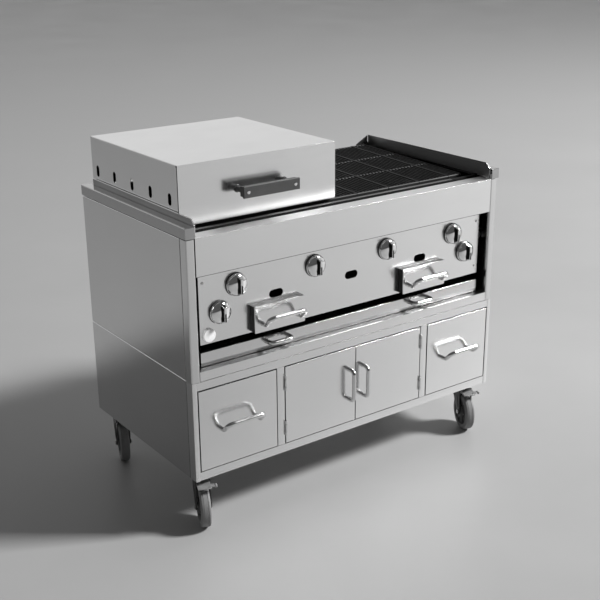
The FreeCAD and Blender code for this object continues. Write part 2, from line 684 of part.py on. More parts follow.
def gas_train():
    """The manifold pipe with its rear inlet, and a valve with a shaft behind every knob."""
    line = (back("manifold_place"), "manifold_height")
    elbow = doc.addObject("Part::Sphere", "manifold_elbow")
    bind(elbow, "Radius", "manifold_radius")
    place(elbow, "supply_place", *line)
    pipes = [
        rod("manifold_pipe", "x", line, "manifold_radius", ("-manifold_end", "supply_place")),
        elbow,
        rod("supply_pipe", "y", ("supply_place", "manifold_height"), "manifold_radius",
            (back("manifold_place"), back("depth + inlet_reach"))),
        rod("inlet_stub", "y", ("supply_place", "manifold_height"), "inlet_radius",
            (back("depth + 2"), back("depth + inlet_reach"))),
    ]
    node("gas_manifold", fused("gas_manifold", pipes))
    valves = []
    for name, x, z in knob_places():
        low_row = z == "knob_low_row"
        height = ("knob_low_row - 12", "manifold_height - manifold_radius + 2")
        if not low_row:
            height = ("manifold_height + manifold_radius - 2", "burner_height + 12")
        parts = [
            block(f"{name}_valve_body", (f"{x} - 12", f"{x} + 12"),
                  (back("recess + 6"), back("manifold_place + 4")), height),
            rod(f"{name}_shaft", "y", (x, z), "shaft_radius",
                (back("recess - 15"), back("manifold_place"))),
        ]
        if not low_row:
            parts.append(rod(f"{name}_spud", "y", (x, "burner_height"), "shaft_radius + 1",
                             (back("manifold_place"), back("mouth_start + 10"))))
        valves.append(fused(f"{name}_valve", parts))
    node("gas_valves", group("gas_valves", valves))


def grate_body(name, width, bars):
    """One grate casting: four cross rods under a row of front-to-back bars."""
    body = doc.addObject("PartDesign::Body", name)
    low = "-grate_bar_high - 2"
    rod_corners = [(0, 0), (width, 0), (width, "grate_rod"), (0, "grate_rod")]
    cross = pad(body, outline(body, "XY_Plane", rod_corners, f"{name}_rod", offset=low),
                "grate_bar_high - 1")
    repeated(body, cross, "Y_Axis", "(grate_length - grate_rod)/3", 4)
    bar_corners = [(0, 0), ("grate_bar", 0), ("grate_bar", "grate_length"), (0, "grate_length")]
    bar = pad(body, outline(body, "XY_Plane", bar_corners, f"{name}_bar",
                            offset="-grate_bar_high"), "grate_bar_high")
    repeated(body, bar, "X_Axis", f"({width} - grate_bar)/{bars - 1}", bars)
    return body


def cooking_grates():
    """Eight loose grates side by side and a narrow one, all rising slightly to the back."""
    grates = []
    for number in range(8):
        body = grate_body(f"grate_{number + 1}", "grate_pitch - grate_gap", 10)
        grates.append(place(body, x=f"-grate_left + {number}*grate_pitch"))
    filler = grate_body("grate_filler", "filler_width - grate_gap", 5)
    grates.append(place(filler, x="-grate_left + 8*grate_pitch"))
    whole = group("cooking_grates", grates)
    slope = FreeCAD.Rotation(FreeCAD.Vector(1, 0, 0), SIZES["grate_slope"])
    place(whole, y=back("grate_front"), z="grate_top", turn=slope)
    bind(whole, "Placement.Rotation.Angle", "grate_slope")
    node("cooking_grates", whole)


def grate_rails():
    """The ledge in front of the grates and the bars that the grates rest on."""
    wide = ("-firebox_half + 2*sheet", "firebox_half - 2*sheet")
    rear = "grate_length - 10"
    rise = f"({rear})*tan(grate_slope)"
    bars = [
        block("front_ledge", wide, (back("firebox_front + 2"), back("firebox_front + 14")),
              ("grate_top - 10", "grate_top - 3")),
        block("front_rest", wide, (back("grate_front + 4"), back("grate_front + 12")),
              ("grate_top - grate_bar_high - 12", "grate_top - grate_bar_high - 2.5")),
        block("rear_rest", wide, (back(f"grate_front + {rear}"), back(f"grate_front + {rear} + 6")),
              (f"grate_top + {rise} - grate_bar_high - 12",
               f"grate_top + {rise} - grate_bar_high - 2.5")),
    ]
    node("grate_rails", group("grate_rails", bars))


# ---------------------------------------------------------------- guards and lid

def splash_guards():
    """Two low side guards; the right one turns a short way in at the back."""
    guards = []
    for side in ("left", "right"):
        start, stop = f"{side}_guard_front", f"{side}_guard_back"
        points = [(start, "guard_low"), (start, "guard_top - guard_chamfer"),
                  (f"{start} + guard_chamfer", "guard_top"), (stop, "guard_top"),
                  (stop, "guard_low + 5"), ("firebox_front", "guard_low + 5"),
                  ("firebox_front", "guard_low")]
        points = [(back(y), z) for y, z in points]
        plate = profile_along_x(f"{side}_guard", points,
                                across(side, "guard_outer - guard_thick", "guard_outer"))
        if side == "right":
            turn_in = [("guard_outer - guard_return", "guard_low + 5"),
                       ("guard_outer - guard_return", "guard_low + 18"),
                       ("guard_outer - guard_thick", "guard_top"),
                       ("guard_outer - guard_thick", "guard_low + 5")]
            wing = profile_along_y("guard_wing", turn_in,
                                   (back(f"{stop} - guard_thick"), back(stop)))
            plate = fused("right_guard_whole", [plate, wing])
        guards.append(plate)
    node("splash_guards", group("splash_guards", guards))


def lid_hinge_spans(number):
    """X limits of a fixed knuckle and of the lid's knuckle beside it."""
    middle = f"-(lid_left + lid_right)/2 {'-+'[number]} lid_hinge_place"
    fixed = (f"{middle} - lid_hinge_length", f"{middle} - gap/2")
    moving = (f"{middle} + gap/2", f"{middle} + lid_hinge_length")
    return fixed, moving


def lid_shell():
    """The roasting lid: five sheet walls, open below, with slots in its left wall."""
    x = ("-lid_left", "-lid_right")
    y = (back("lid_front"), back("lid_back"))
    outer = block("lid_outer", x, y, ("lid_low", "lid_top"))
    hollow = block("lid_hollow", ("-lid_left + sheet", "-lid_right - sheet"),
                   (f"{y[0]} + sheet", f"{y[1]} - sheet"), ("lid_low - 1", "lid_top - sheet"))
    wedge = [("lid_front + 2*sheet", "lid_low - 5"), ("lid_back + 5", "lid_low - 5"),
             ("lid_back + 5", "lid_low_back"), ("lid_front + 2*sheet", "lid_low")]
    tools = [hollow, profile_along_x("lid_foot", [(back(y), z) for y, z in wedge],
                                     ("-lid_left - 5", "-lid_right + 5"))]
    for number in range(5):
        middle = back(f"vent_middle + {number - 2}*vent_pitch")
        for end, sign in (("low", "-"), ("high", "+")):
            tools.append(rod(f"vent_{number}_{end}", "x",
                             (middle, f"vent_height {sign} vent_half_high"), "vent_half_width",
                             ("-lid_left - 5", "-lid_left + 5")))
        tools.append(block(f"vent_{number}_middle", ("-lid_left - 5", "-lid_left + 5"),
                           (f"{middle} - vent_half_width", f"{middle} + vent_half_width"),
                           ("vent_height - vent_half_high", "vent_height + vent_half_high")))
    parts = [cut("lid_box", outer, tools)]
    bores = []
    line = (back("lid_pin_place"), "lid_pin_height")
    for number in range(2):
        fixed, moving = lid_hinge_spans(number)
        parts.append(rod(f"lid_knuckle_{number}", "x", line, "lid_knuckle", moving))
        parts.append(block(f"lid_leaf_{number}", moving,
                           (back("lid_back - sheet"), back("lid_back + sheet")),
                           ("lid_pin_height", "lid_pin_height + 25")))
        bores.append(rod(f"lid_bore_{number}", "x", line, "lid_pin + fit",
                         (f"{moving[0]} - 5", f"{moving[1]} + 5")))
    node("lid_shell", cut("lid_shell", fused("lid_whole", parts), bores))


def lid_hinge_brackets():
    """The fixed knuckles and pins that the lid turns on, on legs from the back panel."""
    brackets = []
    line = (back("lid_pin_place"), "lid_pin_height")
    for number in range(2):
        fixed, moving = lid_hinge_spans(number)
        brackets.append(fused(f"lid_bracket_{number}", [
            rod(f"lid_fixed_knuckle_{number}", "x", line, "lid_knuckle", fixed),
            rod(f"lid_pin_{number}", "x", line, "lid_pin", (fixed[0], moving[1])),
            block(f"lid_bracket_leg_{number}", fixed,
                  (back("depth - 3*sheet"), back("depth - sheet")),
                  ("guard_low - 20", "lid_pin_height")),
        ]))
    node("lid_hinge_brackets", group("lid_hinge_brackets", brackets))


def lid_handle():
    """A thick bar grip on two round standoffs."""
    level = "(lid_grip_low + lid_grip_high)/2"
    far = "lid_front - lid_grip_gap - lid_grip_thick"
    node("lid_handle_grip", block(
        "lid_handle_grip",
        ("-lid_grip_middle - lid_grip_half", "-lid_grip_middle + lid_grip_half"),
        (back(far), back("lid_front - lid_grip_gap")), ("lid_grip_low", "lid_grip_high")))
    posts = [rod(f"lid_post_{end}", "y", (f"-lid_grip_middle {sign} lid_post_half", level),
                 "lid_post_radius", (back("lid_front - lid_grip_gap"), back("lid_front")))
             for end, sign in (("left", "-"), ("right", "+"))]
    node("lid_handle_posts", group("lid_handle_posts", posts))


# ---------------------------------------------------------------- casters

def caster_spot(corner):
    end, side = corner.split("_")
    x = at(side, "width/2 - caster_side")
    y = back("caster_front") if end == "front" else back("depth - caster_back")
    return x, y


def turned_about_z(thing, corner, x, y, z="0"):
    """Stand a piece on a caster's swivel line at that caster's resting turn."""
    turn = FreeCAD.Rotation(FreeCAD.Vector(0, 0, 1), SIZES[f"turn_{corner}"])
    place(thing, x, y, z, turn)
    return thing


def caster_plates():
    """The four bolted top plates, each with its bearing cup, kingpin and bolt heads."""
    plates = []
    for corner in CASTERS:
        x, y = caster_spot(corner)
        under = "floor_gap - plate_thick"
        parts = [
            block(f"{corner}_plate", (f"{x} - plate_half", f"{x} + plate_half"),
                  (f"{y} - plate_half", f"{y} + plate_half"), (under, "floor_gap")),
            rod(f"{corner}_cup", "z", (x, y), "cup_radius", ("cup_low", under)),
            rod(f"{corner}_kingpin", "z", (x, y), "kingpin", ("crown_high + 5", under)),
        ]
        for left in "-+":
            for near in "-+":
                parts.append(rod(f"{corner}_bolt", "z",
                                 (f"{x} {left} (plate_half - 9)", f"{y} {near} (plate_half - 9)"),
                                 "5", (f"{under} - 3", under)))
        plates.append(fused(f"{corner}_mount", parts))
    node("caster_plates", group("caster_plates", plates))


def caster_fork(corner):
    """A swivel fork: bearing head, crown, two cheeks, the axle and a pin for a brake pedal."""
    name = f"caster_fork_{corner}"
    cheek = [("-head_radius + 2", "crown_high"), ("pedal_line + 6", "crown_high"),
             ("trail + 12", "wheel_radius + 4"), ("trail + 6", "wheel_radius - 11"),
             ("trail - 6", "wheel_radius - 11"), ("trail - 14", "wheel_radius + 4")]
    parts = [
        rod(f"{name}_head", "z", ("0", "0"), "head_radius", ("crown_low", "cup_low - gap")),
        block(f"{name}_crown", ("-head_radius + 2", "pedal_line + 6"), ("-fork_far", "fork_far"),
              ("crown_low", "crown_high")),
        rod(f"{name}_axle", "y", ("trail", "wheel_radius"), "axle_radius",
            ("-fork_far - 3", "fork_far + 3")),
    ]
    for side, start in (("near", "-fork_far"), ("far", "fork_near")):
        parts.append(profile_along_y(f"{name}_{side}_cheek", cheek,
                                     (start, f"{start} + fork_far - fork_near")))
    if corner.startswith("front"):
        for side, start in (("near", "-fork_far"), ("far", "fork_near")):
            parts.append(block(f"{name}_{side}_ear", ("pedal_line - 4", "pedal_line + 4"),
                               (start, f"{start} + fork_far - fork_near"),
                               ("crown_low", "pedal_height + 4")))
        parts.append(rod(f"{name}_pedal_pin", "y", ("pedal_line", "pedal_height"), "pedal_pin",
                         ("-fork_far", "fork_far")))
    bore = rod(f"{name}_bore", "z", ("0", "0"), "kingpin + fit", ("crown_high + 4", "cup_low"))
    x, y = caster_spot(corner)
    node(name, turned_about_z(cut(name, fused(f"{name}_whole", parts), [bore]), corner, x, y))


def caster_wheel(corner):
    """A wheel: hub, web and tyre turned about its axle."""
    inner = "axle_radius + fit"
    half = [(inner, "hub_half"), (22, "hub_half"), (24, 10), (44, 10), (46, "wheel_half"),
            ("wheel_radius - 2.5", "wheel_half"), ("wheel_radius", "wheel_half - 3")]
    points = [(r, f"-({y})") for r, y in half] + half[::-1]
    name = f"caster_wheel_{corner}"
    x, y = caster_spot(corner)
    angle = f"turn_{corner}"
    node(name, turned_about_z(turned(name, points), corner, f"{x} + trail*cos({angle})",
                              f"{y} + trail*sin({angle})", "wheel_radius"))


def brake_pedal(corner):
    """A foot pedal over the wheel of a front caster, on its own pin."""
    name = f"brake_pedal_{corner}"
    wide = ("-fork_near + gap", "fork_near - gap")
    parts = [
        rod(f"{name}_barrel", "y", ("pedal_line", "pedal_height"), "pedal_pin + 2", wide),
        block(f"{name}_plate", ("pedal_line", "pedal_line + 44"), wide,
              ("pedal_height - 1", "pedal_height + 2")),
        block(f"{name}_tab", ("pedal_line + 20", "pedal_line + 40"), ("0", "fork_far + 15"),
              ("pedal_height - 1", "pedal_height + 2")),
    ]
    bore = rod(f"{name}_bore", "y", ("pedal_line", "pedal_height"), "pedal_pin + fit",
               ("-fork_far", "fork_far"))
    x, y = caster_spot(corner)
    node(name, turned_about_z(cut(name, fused(f"{name}_whole", parts), [bore]), corner, x, y))


# ---------------------------------------------------------------- whole appliance

def build():
    write_sizes()
    cabinet_shell()
    cabinet_dividers()
    for side in DRAWERS:
        cabinet_drawer(side)
    for side in DOORS:
        door(side)
    door_hinge_pins()
    body_shell()
    body_deck()
    fascia()
    control_panel()
    control_trim()
    for place_of_knob in knob_places():
        knob(*place_of_knob)
    for side in DRAWERS:
        box_drawer(side)
    drip_tray()
    firebox()
    burners()
    radiants()
    gas_train()
    cooking_grates()
    grate_rails()
    splash_guards()
    lid_shell()
    lid_hinge_brackets()
    lid_handle()
    caster_plates()
    for corner in CASTERS:
        caster_fork(corner)
        caster_wheel(corner)
        if corner.startswith("front"):
            brake_pedal(corner)
    doc.recompute()


def check():
    """Stop on any object that failed and on any sub-part without a sound solid."""
    for thing in doc.Objects:
        if {"Invalid", "Error"} & set(thing.State):
            raise RuntimeError(f"{thing.Label} did not build: {thing.State}")
    for thing in nodes:
        if thing.Shape.isNull() or not thing.Shape.isValid() or not thing.Shape.Solids:
            raise RuntimeError(f"{thing.Label} has no valid solid")


def export():
    os.makedirs("parts", exist_ok=True)
    for thing in nodes:
        thing.Shape.exportStep(os.path.join("parts", f"{thing.Label}.step"))
    print(len(nodes), "sub-parts written")


build()
check()
export()
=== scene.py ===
"""Looks of the charbroiler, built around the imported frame.

Shapes are worked out in millimetres in the row's own frame, and piece() writes them in metres.
Every piece that stands for a CAD node takes its place from that node's box.
"""
import json
import math

import bmesh
import bpy
from mathutils import Matrix, Vector


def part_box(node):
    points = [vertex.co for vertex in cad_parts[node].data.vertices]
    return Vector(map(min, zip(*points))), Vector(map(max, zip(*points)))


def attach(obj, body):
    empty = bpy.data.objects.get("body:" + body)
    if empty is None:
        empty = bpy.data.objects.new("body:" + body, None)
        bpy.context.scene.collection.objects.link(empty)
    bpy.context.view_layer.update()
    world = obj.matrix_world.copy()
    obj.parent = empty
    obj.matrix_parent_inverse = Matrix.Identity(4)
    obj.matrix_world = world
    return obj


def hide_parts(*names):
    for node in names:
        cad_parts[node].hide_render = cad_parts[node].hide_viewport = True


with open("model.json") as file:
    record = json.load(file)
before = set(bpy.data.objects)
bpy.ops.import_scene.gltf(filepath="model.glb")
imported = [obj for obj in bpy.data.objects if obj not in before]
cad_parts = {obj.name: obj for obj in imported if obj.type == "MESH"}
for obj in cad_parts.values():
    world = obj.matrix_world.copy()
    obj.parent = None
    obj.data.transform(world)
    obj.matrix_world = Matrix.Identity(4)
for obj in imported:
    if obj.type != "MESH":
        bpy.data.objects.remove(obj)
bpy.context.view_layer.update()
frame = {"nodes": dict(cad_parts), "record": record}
MM = 0.001
TAU = 2 * math.pi

# Sheet metal sizes that the whole appliance shares, in mm.
SHEET = 1.5
BEND = 1.8            # outside radius of a folded edge
TIGHT_BEND = 0.35     # outside radius of a sharply folded front edge
SHARP_BEND = 0.08     # the same where the edge looks straight up at the light
SEAM = 0.5            # gap between two sheets that meet
CAP_GAP = 2.6         # dark line under the side caps


def corners(node):
    """Lowest and highest corner of a CAD node, in mm."""
    low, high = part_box(node)
    return Vector(low) / MM, Vector(high) / MM


FRONT = corners("cabinet_front_frame")[0].y
BACK = corners("cabinet_back")[1].y
HALF = corners("cabinet_front_frame")[1].x
PIPE_HEIGHT = 682.0   # middle of the gas pipe
INLET_RADIUS = 13.3   # outside of its threaded inlet
JOINTS = {joint["name"]: joint for joint in frame["record"]["behaviour"]["joints"]}


def joint_place(name):
    """Where a joint's line passes, in mm."""
    return Vector(JOINTS[name]["pos_m"]) / MM


# ---------------------------------------------------------------- materials

def fresh(name):
    """A new material with its node tree, its shader and its texture coordinates."""
    material = bpy.data.materials.new(name)
    material.use_nodes = True
    tree = material.node_tree
    return material, tree, tree.nodes["Principled BSDF"], add(tree, "TexCoord").outputs


def add(tree, kind, inputs=None, **settings):
    """A shader node with its settings, and its inputs set or linked by name or number."""
    made = tree.nodes.new(f"ShaderNode{kind}")
    for key, value in settings.items():
        setattr(made, key, value)
    for key, value in (inputs or {}).items():
        if isinstance(value, bpy.types.NodeSocket):
            tree.links.new(value, made.inputs[key])
        else:
            made.inputs[key].default_value = value
    return made


def noise(tree, where, stretch, detail=3.0, rough=0.55):
    """Noise whose cells have the given size per metre on each axis."""
    mapped = add(tree, "Mapping", {"Vector": where, "Scale": stretch})
    return add(tree, "TexNoise", {"Vector": mapped.outputs[0], "Scale": 1.0, "Detail": detail,
                                  "Roughness": rough}).outputs["Fac"]


def spread(tree, value, low, high, start=0.3, stop=0.7, **settings):
    """A value mapped from start..stop to low..high."""
    return add(tree, "MapRange", {"Value": value, "From Min": start, "From Max": stop,
                                  "To Min": low, "To Max": high}, **settings).outputs[0]


def grey(value, tint=(1.0, 1.0, 1.0)):
    return (value * tint[0], value * tint[1], value * tint[2], 1.0)


def blend(tree, factor, first, second):
    mixed = add(tree, "Mix", {0: factor, 6: first, 7: second}, data_type="RGBA")
    return mixed.outputs[2]


def bumps(tree, *layers):
    """Bump layers in a chain, each (height, strength, distance in metres)."""
    normal = None
    for height, strength, distance in layers:
        inputs = {"Height": height, "Strength": strength, "Distance": distance}
        if normal is not None:
            inputs["Normal"] = normal
        normal = add(tree, "Bump", inputs).outputs[0]
    return normal


def dress(tree, shader, colour, rough, normal, metallic=1.0, shine=0.5):
    """Link a colour, a roughness and a normal to a shader, and set how metallic it is."""
    for key, value in (("Base Color", colour), ("Roughness", rough), ("Normal", normal)):
        tree.links.new(value, shader.inputs[key])
    shader.inputs["Metallic"].default_value = metallic
    shader.inputs["Specular IOR Level"].default_value = shine


def brushed(name, tone, rough, smudge=0.025, grain=0.05):
    """Satin sheet: fine grain along X, or along Y where a face looks sideways."""
    material, tree, shader, place = fresh(name)
    where = place["Object"]
    sides = add(tree, "SeparateXYZ", {0: place["Normal"]})
    sideways = add(tree, "Math", {0: sides.outputs[0]}, operation="ABSOLUTE").outputs[0]
    sideways = add(tree, "Math", {0: sideways, 1: 0.6}, operation="GREATER_THAN").outputs[0]
    along_x = noise(tree, where, (14.0, 900.0, 900.0))
    along_y = noise(tree, where, (900.0, 14.0, 900.0))
    lines = add(tree, "Mix", {0: sideways, 2: along_x, 3: along_y}).outputs[0]
    clouds = noise(tree, where, (2.6, 2.6, 3.4), detail=4.0)
    wiped = noise(tree, where, (9.0, 9.0, 22.0), detail=5.0)
    dents = noise(tree, where, (3.0, 3.0, 3.0), detail=1.0)
    light = blend(tree, spread(tree, clouds, 0.0, 1.0), grey(tone * 0.96), grey(tone))
    marked = blend(tree, spread(tree, lines, 0.0, grain), light, grey(tone * 0.62))
    gloss = add(tree, "Math", {0: spread(tree, wiped, rough - smudge, rough + smudge),
                               1: spread(tree, lines, -0.03, 0.03)}, operation="ADD").outputs[0]
    normal = bumps(tree, (dents, 0.05, 0.003), (lines, 0.06, 0.00010))
    dress(tree, shader, marked, gloss, normal)
    return material


def polished(name, tone, rough, tint=(1.0, 1.0, 1.0)):
    """Plated or polished metal with faint wiping marks."""
    material, tree, shader, place = fresh(name)
    wiped = noise(tree, place["Object"], (60.0, 60.0, 60.0), detail=5.0)
    fine = noise(tree, place["Object"], (420.0, 420.0, 420.0), detail=2.0)
    colour = blend(tree, spread(tree, wiped, 0.0, 1.0), grey(tone * 0.88, tint), grey(tone, tint))
    gloss = spread(tree, wiped, rough * 0.7, rough * 1.6)
    dress(tree, shader, colour, gloss, bumps(tree, (fine, 0.04, 0.0002)))
    return material


def coated(name, tone, rough, grain_size, depth, worn=None, metallic=0.0, shine=0.5):
    """Paint, cast metal, plastic or rubber: mottled, with a fine grain and worn patches."""
    material, tree, shader, place = fresh(name)
    cells = 1.0 / (grain_size * MM)
    grain = noise(tree, place["Object"], (cells, cells, cells), detail=3.0)
    broad = noise(tree, place["Object"], (14.0, 14.0, 14.0), detail=5.0, rough=0.65)
    base = blend(tree, spread(tree, broad, 0.0, 1.0), grey(tone * 0.8), grey(tone * 1.2))
    if worn is not None:
        base = blend(tree, spread(tree, broad, 0.0, 0.85, 0.56, 0.74), base, grey(worn))
    speckled = blend(tree, spread(tree, grain, 0.0, 0.3), base, grey(tone * 1.7))
    gloss = spread(tree, broad, rough - 0.06, rough + 0.08)
    dress(tree, shader, speckled, gloss, bumps(tree, (grain, 0.5, depth * MM)), metallic, shine)
    return material


STEEL = brushed("steel_satin_front", 0.80, 0.20)
STRIP_STEEL = brushed("steel_satin_strip", 0.70, 0.16)
# Darker copy of the front steel for the body's side faces: painted shade; backs, tubs and inner
# sheets use it too.
SIDE_STEEL = brushed("steel_satin_body", 0.66, 0.14)
# Lighter, rougher copy of the steel for the fascia's top flange: painted light.
TOP_STEEL_PAINTED_LIGHT = brushed("steel_top_painted_light", 0.85, 0.42)
# Darker, smoother copy of the steel for the side caps: painted shade, for the lid's shaded side
# reflected in them.
CAP_STEEL_PAINTED_SHADE = brushed("steel_cap_smooth_painted_shade", 0.42, 0.10)
LID_STEEL = brushed("steel_satin_lid", 0.75, 0.20)
# Darker copy of the steel for the splash guards: painted shade, for the shadowed floor they reflect.
GUARD_STEEL_PAINTED_SHADE = brushed("steel_guard_painted_shade", 0.30, 0.34)
# Near-black copy of the steel for the box drawers' casings: painted shade.
DRAWER_SIDE_PAINTED_SHADE = brushed("steel_drawer_side_painted_shade", 0.035, 0.40)
HOT_STEEL = brushed("steel_heat_stained", 0.20, 0.45, smudge=0.12, grain=0.3)
ROD = polished("steel_polished_rod", 0.70, 0.13)
CHROME = polished("chrome_plate", 0.86, 0.05)
ZINC = polished("zinc_plate", 0.52, 0.32)
BRASS = polished("valve_brass", 0.55, 0.35, tint=(1.0, 0.86, 0.55))
BEZEL = coated("bezel_black", 0.03, 0.35, 0.5, 0.03)
ENAMEL = coated("dial_enamel", 0.80, 0.55, 0.8, 0.01)
IRON = coated("grate_cast_iron", 0.013, 0.52, 1.1, 0.25, worn=0.030, shine=0.4)
SOOT = coated("firebox_sooty_steel", 0.010, 0.70, 1.4, 0.10, worn=0.022, shine=0.2)
GRIP = coated("grip_dark_plastic", 0.050, 0.42, 0.6, 0.06)
FORK = coated("fork_dark_steel", 0.060, 0.38, 0.8, 0.05, worn=0.11, metallic=0.7)
PEDAL = coated("pedal_grey_zinc", 0.34, 0.42, 0.9, 0.06, worn=0.46, metallic=0.6)
TYRE = coated("tyre_grey_rubber", 0.20, 0.62, 0.7, 0.08, worn=0.30)
HUB = coated("wheel_hub_dark", 0.070, 0.48, 0.8, 0.05)
# Near black: painted shade in gaps, seams, slots and under edges, and the knobs' printed line.
DARK = coated("black_painted_shade_and_print", 0.008, 0.8, 1.0, 0.02, shine=0.1)
SCREW = coated("screw_pale_zinc", 0.60, 0.45, 0.8, 0.01)


# ---------------------------------------------------------------- shapes: (vertices, faces) in mm

AXES = {
    "x": lambda u, v, w: Vector((w, u, v)),
    "y": lambda u, v, w: Vector((u, w, v)),
    "z": lambda u, v, w: Vector((u, v, w)),
}


def from_bmesh(bm):
    bm.verts.index_update()
    made = ([v.co.copy() for v in bm.verts], [[v.index for v in f.verts] for f in bm.faces])
    bm.free()
    return made


def moved(shape, matrix):
    return [matrix @ v for v in shape[0]], shape[1]


def rounded(points, radius, steps=4, closed=False):
    """Corner points turned into arcs of a radius, or of one radius per corner."""
    points = [Vector(p) for p in points]
    radii = radius if isinstance(radius, (list, tuple)) else [radius] * len(points)
    path = []
    count = len(points)
    for i, corner in enumerate(points):
        if not closed and i in (0, count - 1):
            path.append(corner)
            continue
        to_last = points[i - 1] - corner
        to_next = points[(i + 1) % count] - corner
        half = to_last.angle(to_next) / 2
        reach = min(radii[i] / math.tan(half), 0.49 * min(to_last.length, to_next.length))
        if reach < 1e-6 or half > 1.55:
            path.append(corner)
            continue
        first = to_last.normalized() * reach
        last = to_next.normalized() * reach
        centre = (first + last).normalized() * (reach / math.cos(half))
        for k in range(steps + 1):
            share = k / steps
            swing = (first - centre).lerp(last - centre, share)
            path.append(corner + centre + swing.normalized() * (first - centre).length)
    return path


def folded(points, thick=SHEET, radius=BEND, steps=4):
    """The closed section of a bent sheet: points run along its outside, inside on the right."""
    outside = rounded([Vector(p).to_2d() for p in points], radius, steps)
    inside = []
    for i, point in enumerate(outside):
        before = outside[max(i - 1, 0)]
        after = outside[min(i + 1, len(outside) - 1)]
        ahead = [(b - a).normalized() for a, b in ((before, point), (point, after)) if a != b]
        along = sum(ahead, Vector((0, 0))).normalized()
        lean = max(along.dot(ahead[0]), 0.3)
        inside.append(point + Vector((along.y, -along.x)) * thick / lean)
    return outside + inside[::-1]


def prism(outline, axis, low, high):
    """A closed outline pushed along an axis."""
    count = len(outline)
    verts = [AXES[axis](p[0], p[1], w) for w in (low, high) for p in outline]
    faces = [[i, (i + 1) % count, (i + 1) % count + count, i + count] for i in range(count)]
    faces += [list(range(count))[::-1], list(range(count, 2 * count))]
    return verts, faces


def block(low, high, radius=0.6, along=None, segments=2):
    """A block with rounded edges: all of them, or only those that run along one axis."""
    bm = bmesh.new()
    low, high = Vector(low), Vector(high)
    bmesh.ops.create_cube(bm, size=1)
    for vert in bm.verts:
        vert.co = Vector(c * s for c, s in zip(vert.co, high - low)) + (low + high) / 2
    edges = list(bm.edges)
    if along:
        edges = [e for e in edges if abs((e.verts[0].co - e.verts[1].co)["xyz".index(along)]) > 1e-6]
    radius = min(radius, 0.49 * min(high - low))
    bmesh.ops.bevel(bm, geom=edges, offset=radius, segments=segments, profile=0.5,
                    affect="EDGES")
    return from_bmesh(bm)


def open_box(bm, low, high, radius, axis, sign):
    """One skin of a rounded box with a side missing; returns the rim's edges."""
    before = set(bm.verts)
    bmesh.ops.create_cube(bm, size=1)
    verts = [v for v in bm.verts if v not in before]
    for vert in verts:
        vert.co = Vector(c * s for c, s in zip(vert.co, high - low)) + (low + high) / 2
    rim = (high if sign > 0 else low)[axis]
    faces = {f for v in verts for f in v.link_faces}
    lid = [f for f in faces if all(abs(v.co[axis] - rim) < 1e-6 for v in f.verts)]
    bmesh.ops.delete(bm, geom=lid, context="FACES_ONLY")
    edges = {e for v in verts for e in v.link_edges if len(e.link_faces) == 2}
    bmesh.ops.bevel(bm, geom=list(edges), offset=radius, segments=3, profile=0.5, affect="EDGES")
    new = [v for v in bm.verts if v not in before]
    return [e for e in {e for v in new for e in v.link_edges} if len(e.link_faces) == 1]


def shell(low, high, radius=BEND, opening="+y"):
    """A folded sheet box that is open on one side."""
    low, high = Vector(low), Vector(high)
    axis = "xyz".index(opening[1])
    sign = 1 if opening[0] == "+" else -1
    inner_low = low + Vector((SHEET,) * 3)
    inner_high = high - Vector((SHEET,) * 3)
    (inner_high if sign > 0 else inner_low)[axis] = (high if sign > 0 else low)[axis]
    bm = bmesh.new()
    outer_rim = open_box(bm, low, high, radius, axis, sign)
    kept = set(bm.faces)
    inner_rim = open_box(bm, inner_low, inner_high, max(radius - SHEET, 0.4), axis, sign)
    bmesh.ops.reverse_faces(bm, faces=[f for f in bm.faces if f not in kept])
    bmesh.ops.bridge_loops(bm, edges=outer_rim + inner_rim)
    return from_bmesh(bm)


def lathe(profile, axis, centre, steps=40, closed=False):
    """A (radius, place along the axis) profile turned about an axis; centre is its other two."""
    verts, rings = [], []
    for radius, along in profile:
        if radius < 1e-6:
            rings.append([len(verts)] * steps)
            verts.append(AXES[axis](centre[0], centre[1], along))
            continue
        rings.append(list(range(len(verts), len(verts) + steps)))
        for i in range(steps):
            turn = TAU * i / steps
            verts.append(AXES[axis](centre[0] + radius * math.cos(turn),
                                    centre[1] + radius * math.sin(turn), along))
    faces = []
    pairs = list(zip(rings, rings[1:])) + ([(rings[-1], rings[0])] if closed else [])
    for ring, following in pairs:
        for i in range(steps):
            j = (i + 1) % steps
            loop = [ring[i], ring[j], following[j], following[i]]
            loop = [v for n, v in enumerate(loop) if v != loop[n - 1]]
            if len(loop) > 2:
                faces.append(loop)
    return verts, faces


def disc(radius, axis, centre, low, high, soft=0.5, steps=32):
    """A round bar with softened rims."""
    soft = min(soft, radius * 0.4, (high - low) * 0.4)
    profile = [(0, low), (radius - soft, low), (radius - 0.3 * soft, low + 0.3 * soft),
               (radius, low + soft), (radius, high - soft), (radius - 0.3 * soft, high - 0.3 * soft),
               (radius - soft, high), (0, high)]
    return lathe(profile, axis, centre, steps)


def tube(path, radius, sides=20):
    """A round bar along a path, with its cut ends closed."""
    path = [Vector(p) for p in path]
    verts, faces = [], []
    side = (path[1] - path[0]).orthogonal().normalized()
    for i, point in enumerate(path):
        ahead = (path[min(i + 1, len(path) - 1)] - path[max(i - 1, 0)]).normalized()
        side = (side - ahead * side.dot(ahead)).normalized()
        other = ahead.cross(side)
        for k in range(sides):
            turn = TAU * k / sides
            verts.append(point + (side * math.cos(turn) + other * math.sin(turn)) * radius)
    for i in range(len(path) - 1):
        for k in range(sides):
            a, b = i * sides + k, i * sides + (k + 1) % sides
            faces.append([a, b, b + sides, a + sides])
    last = (len(path) - 1) * sides
    faces += [list(range(sides))[::-1], list(range(last, last + sides))]
    return verts, faces


def circle(u, v, radius, steps=28):
    return [(u + radius * math.cos(TAU * i / steps), v + radius * math.sin(TAU * i / steps))
            for i in range(steps)]


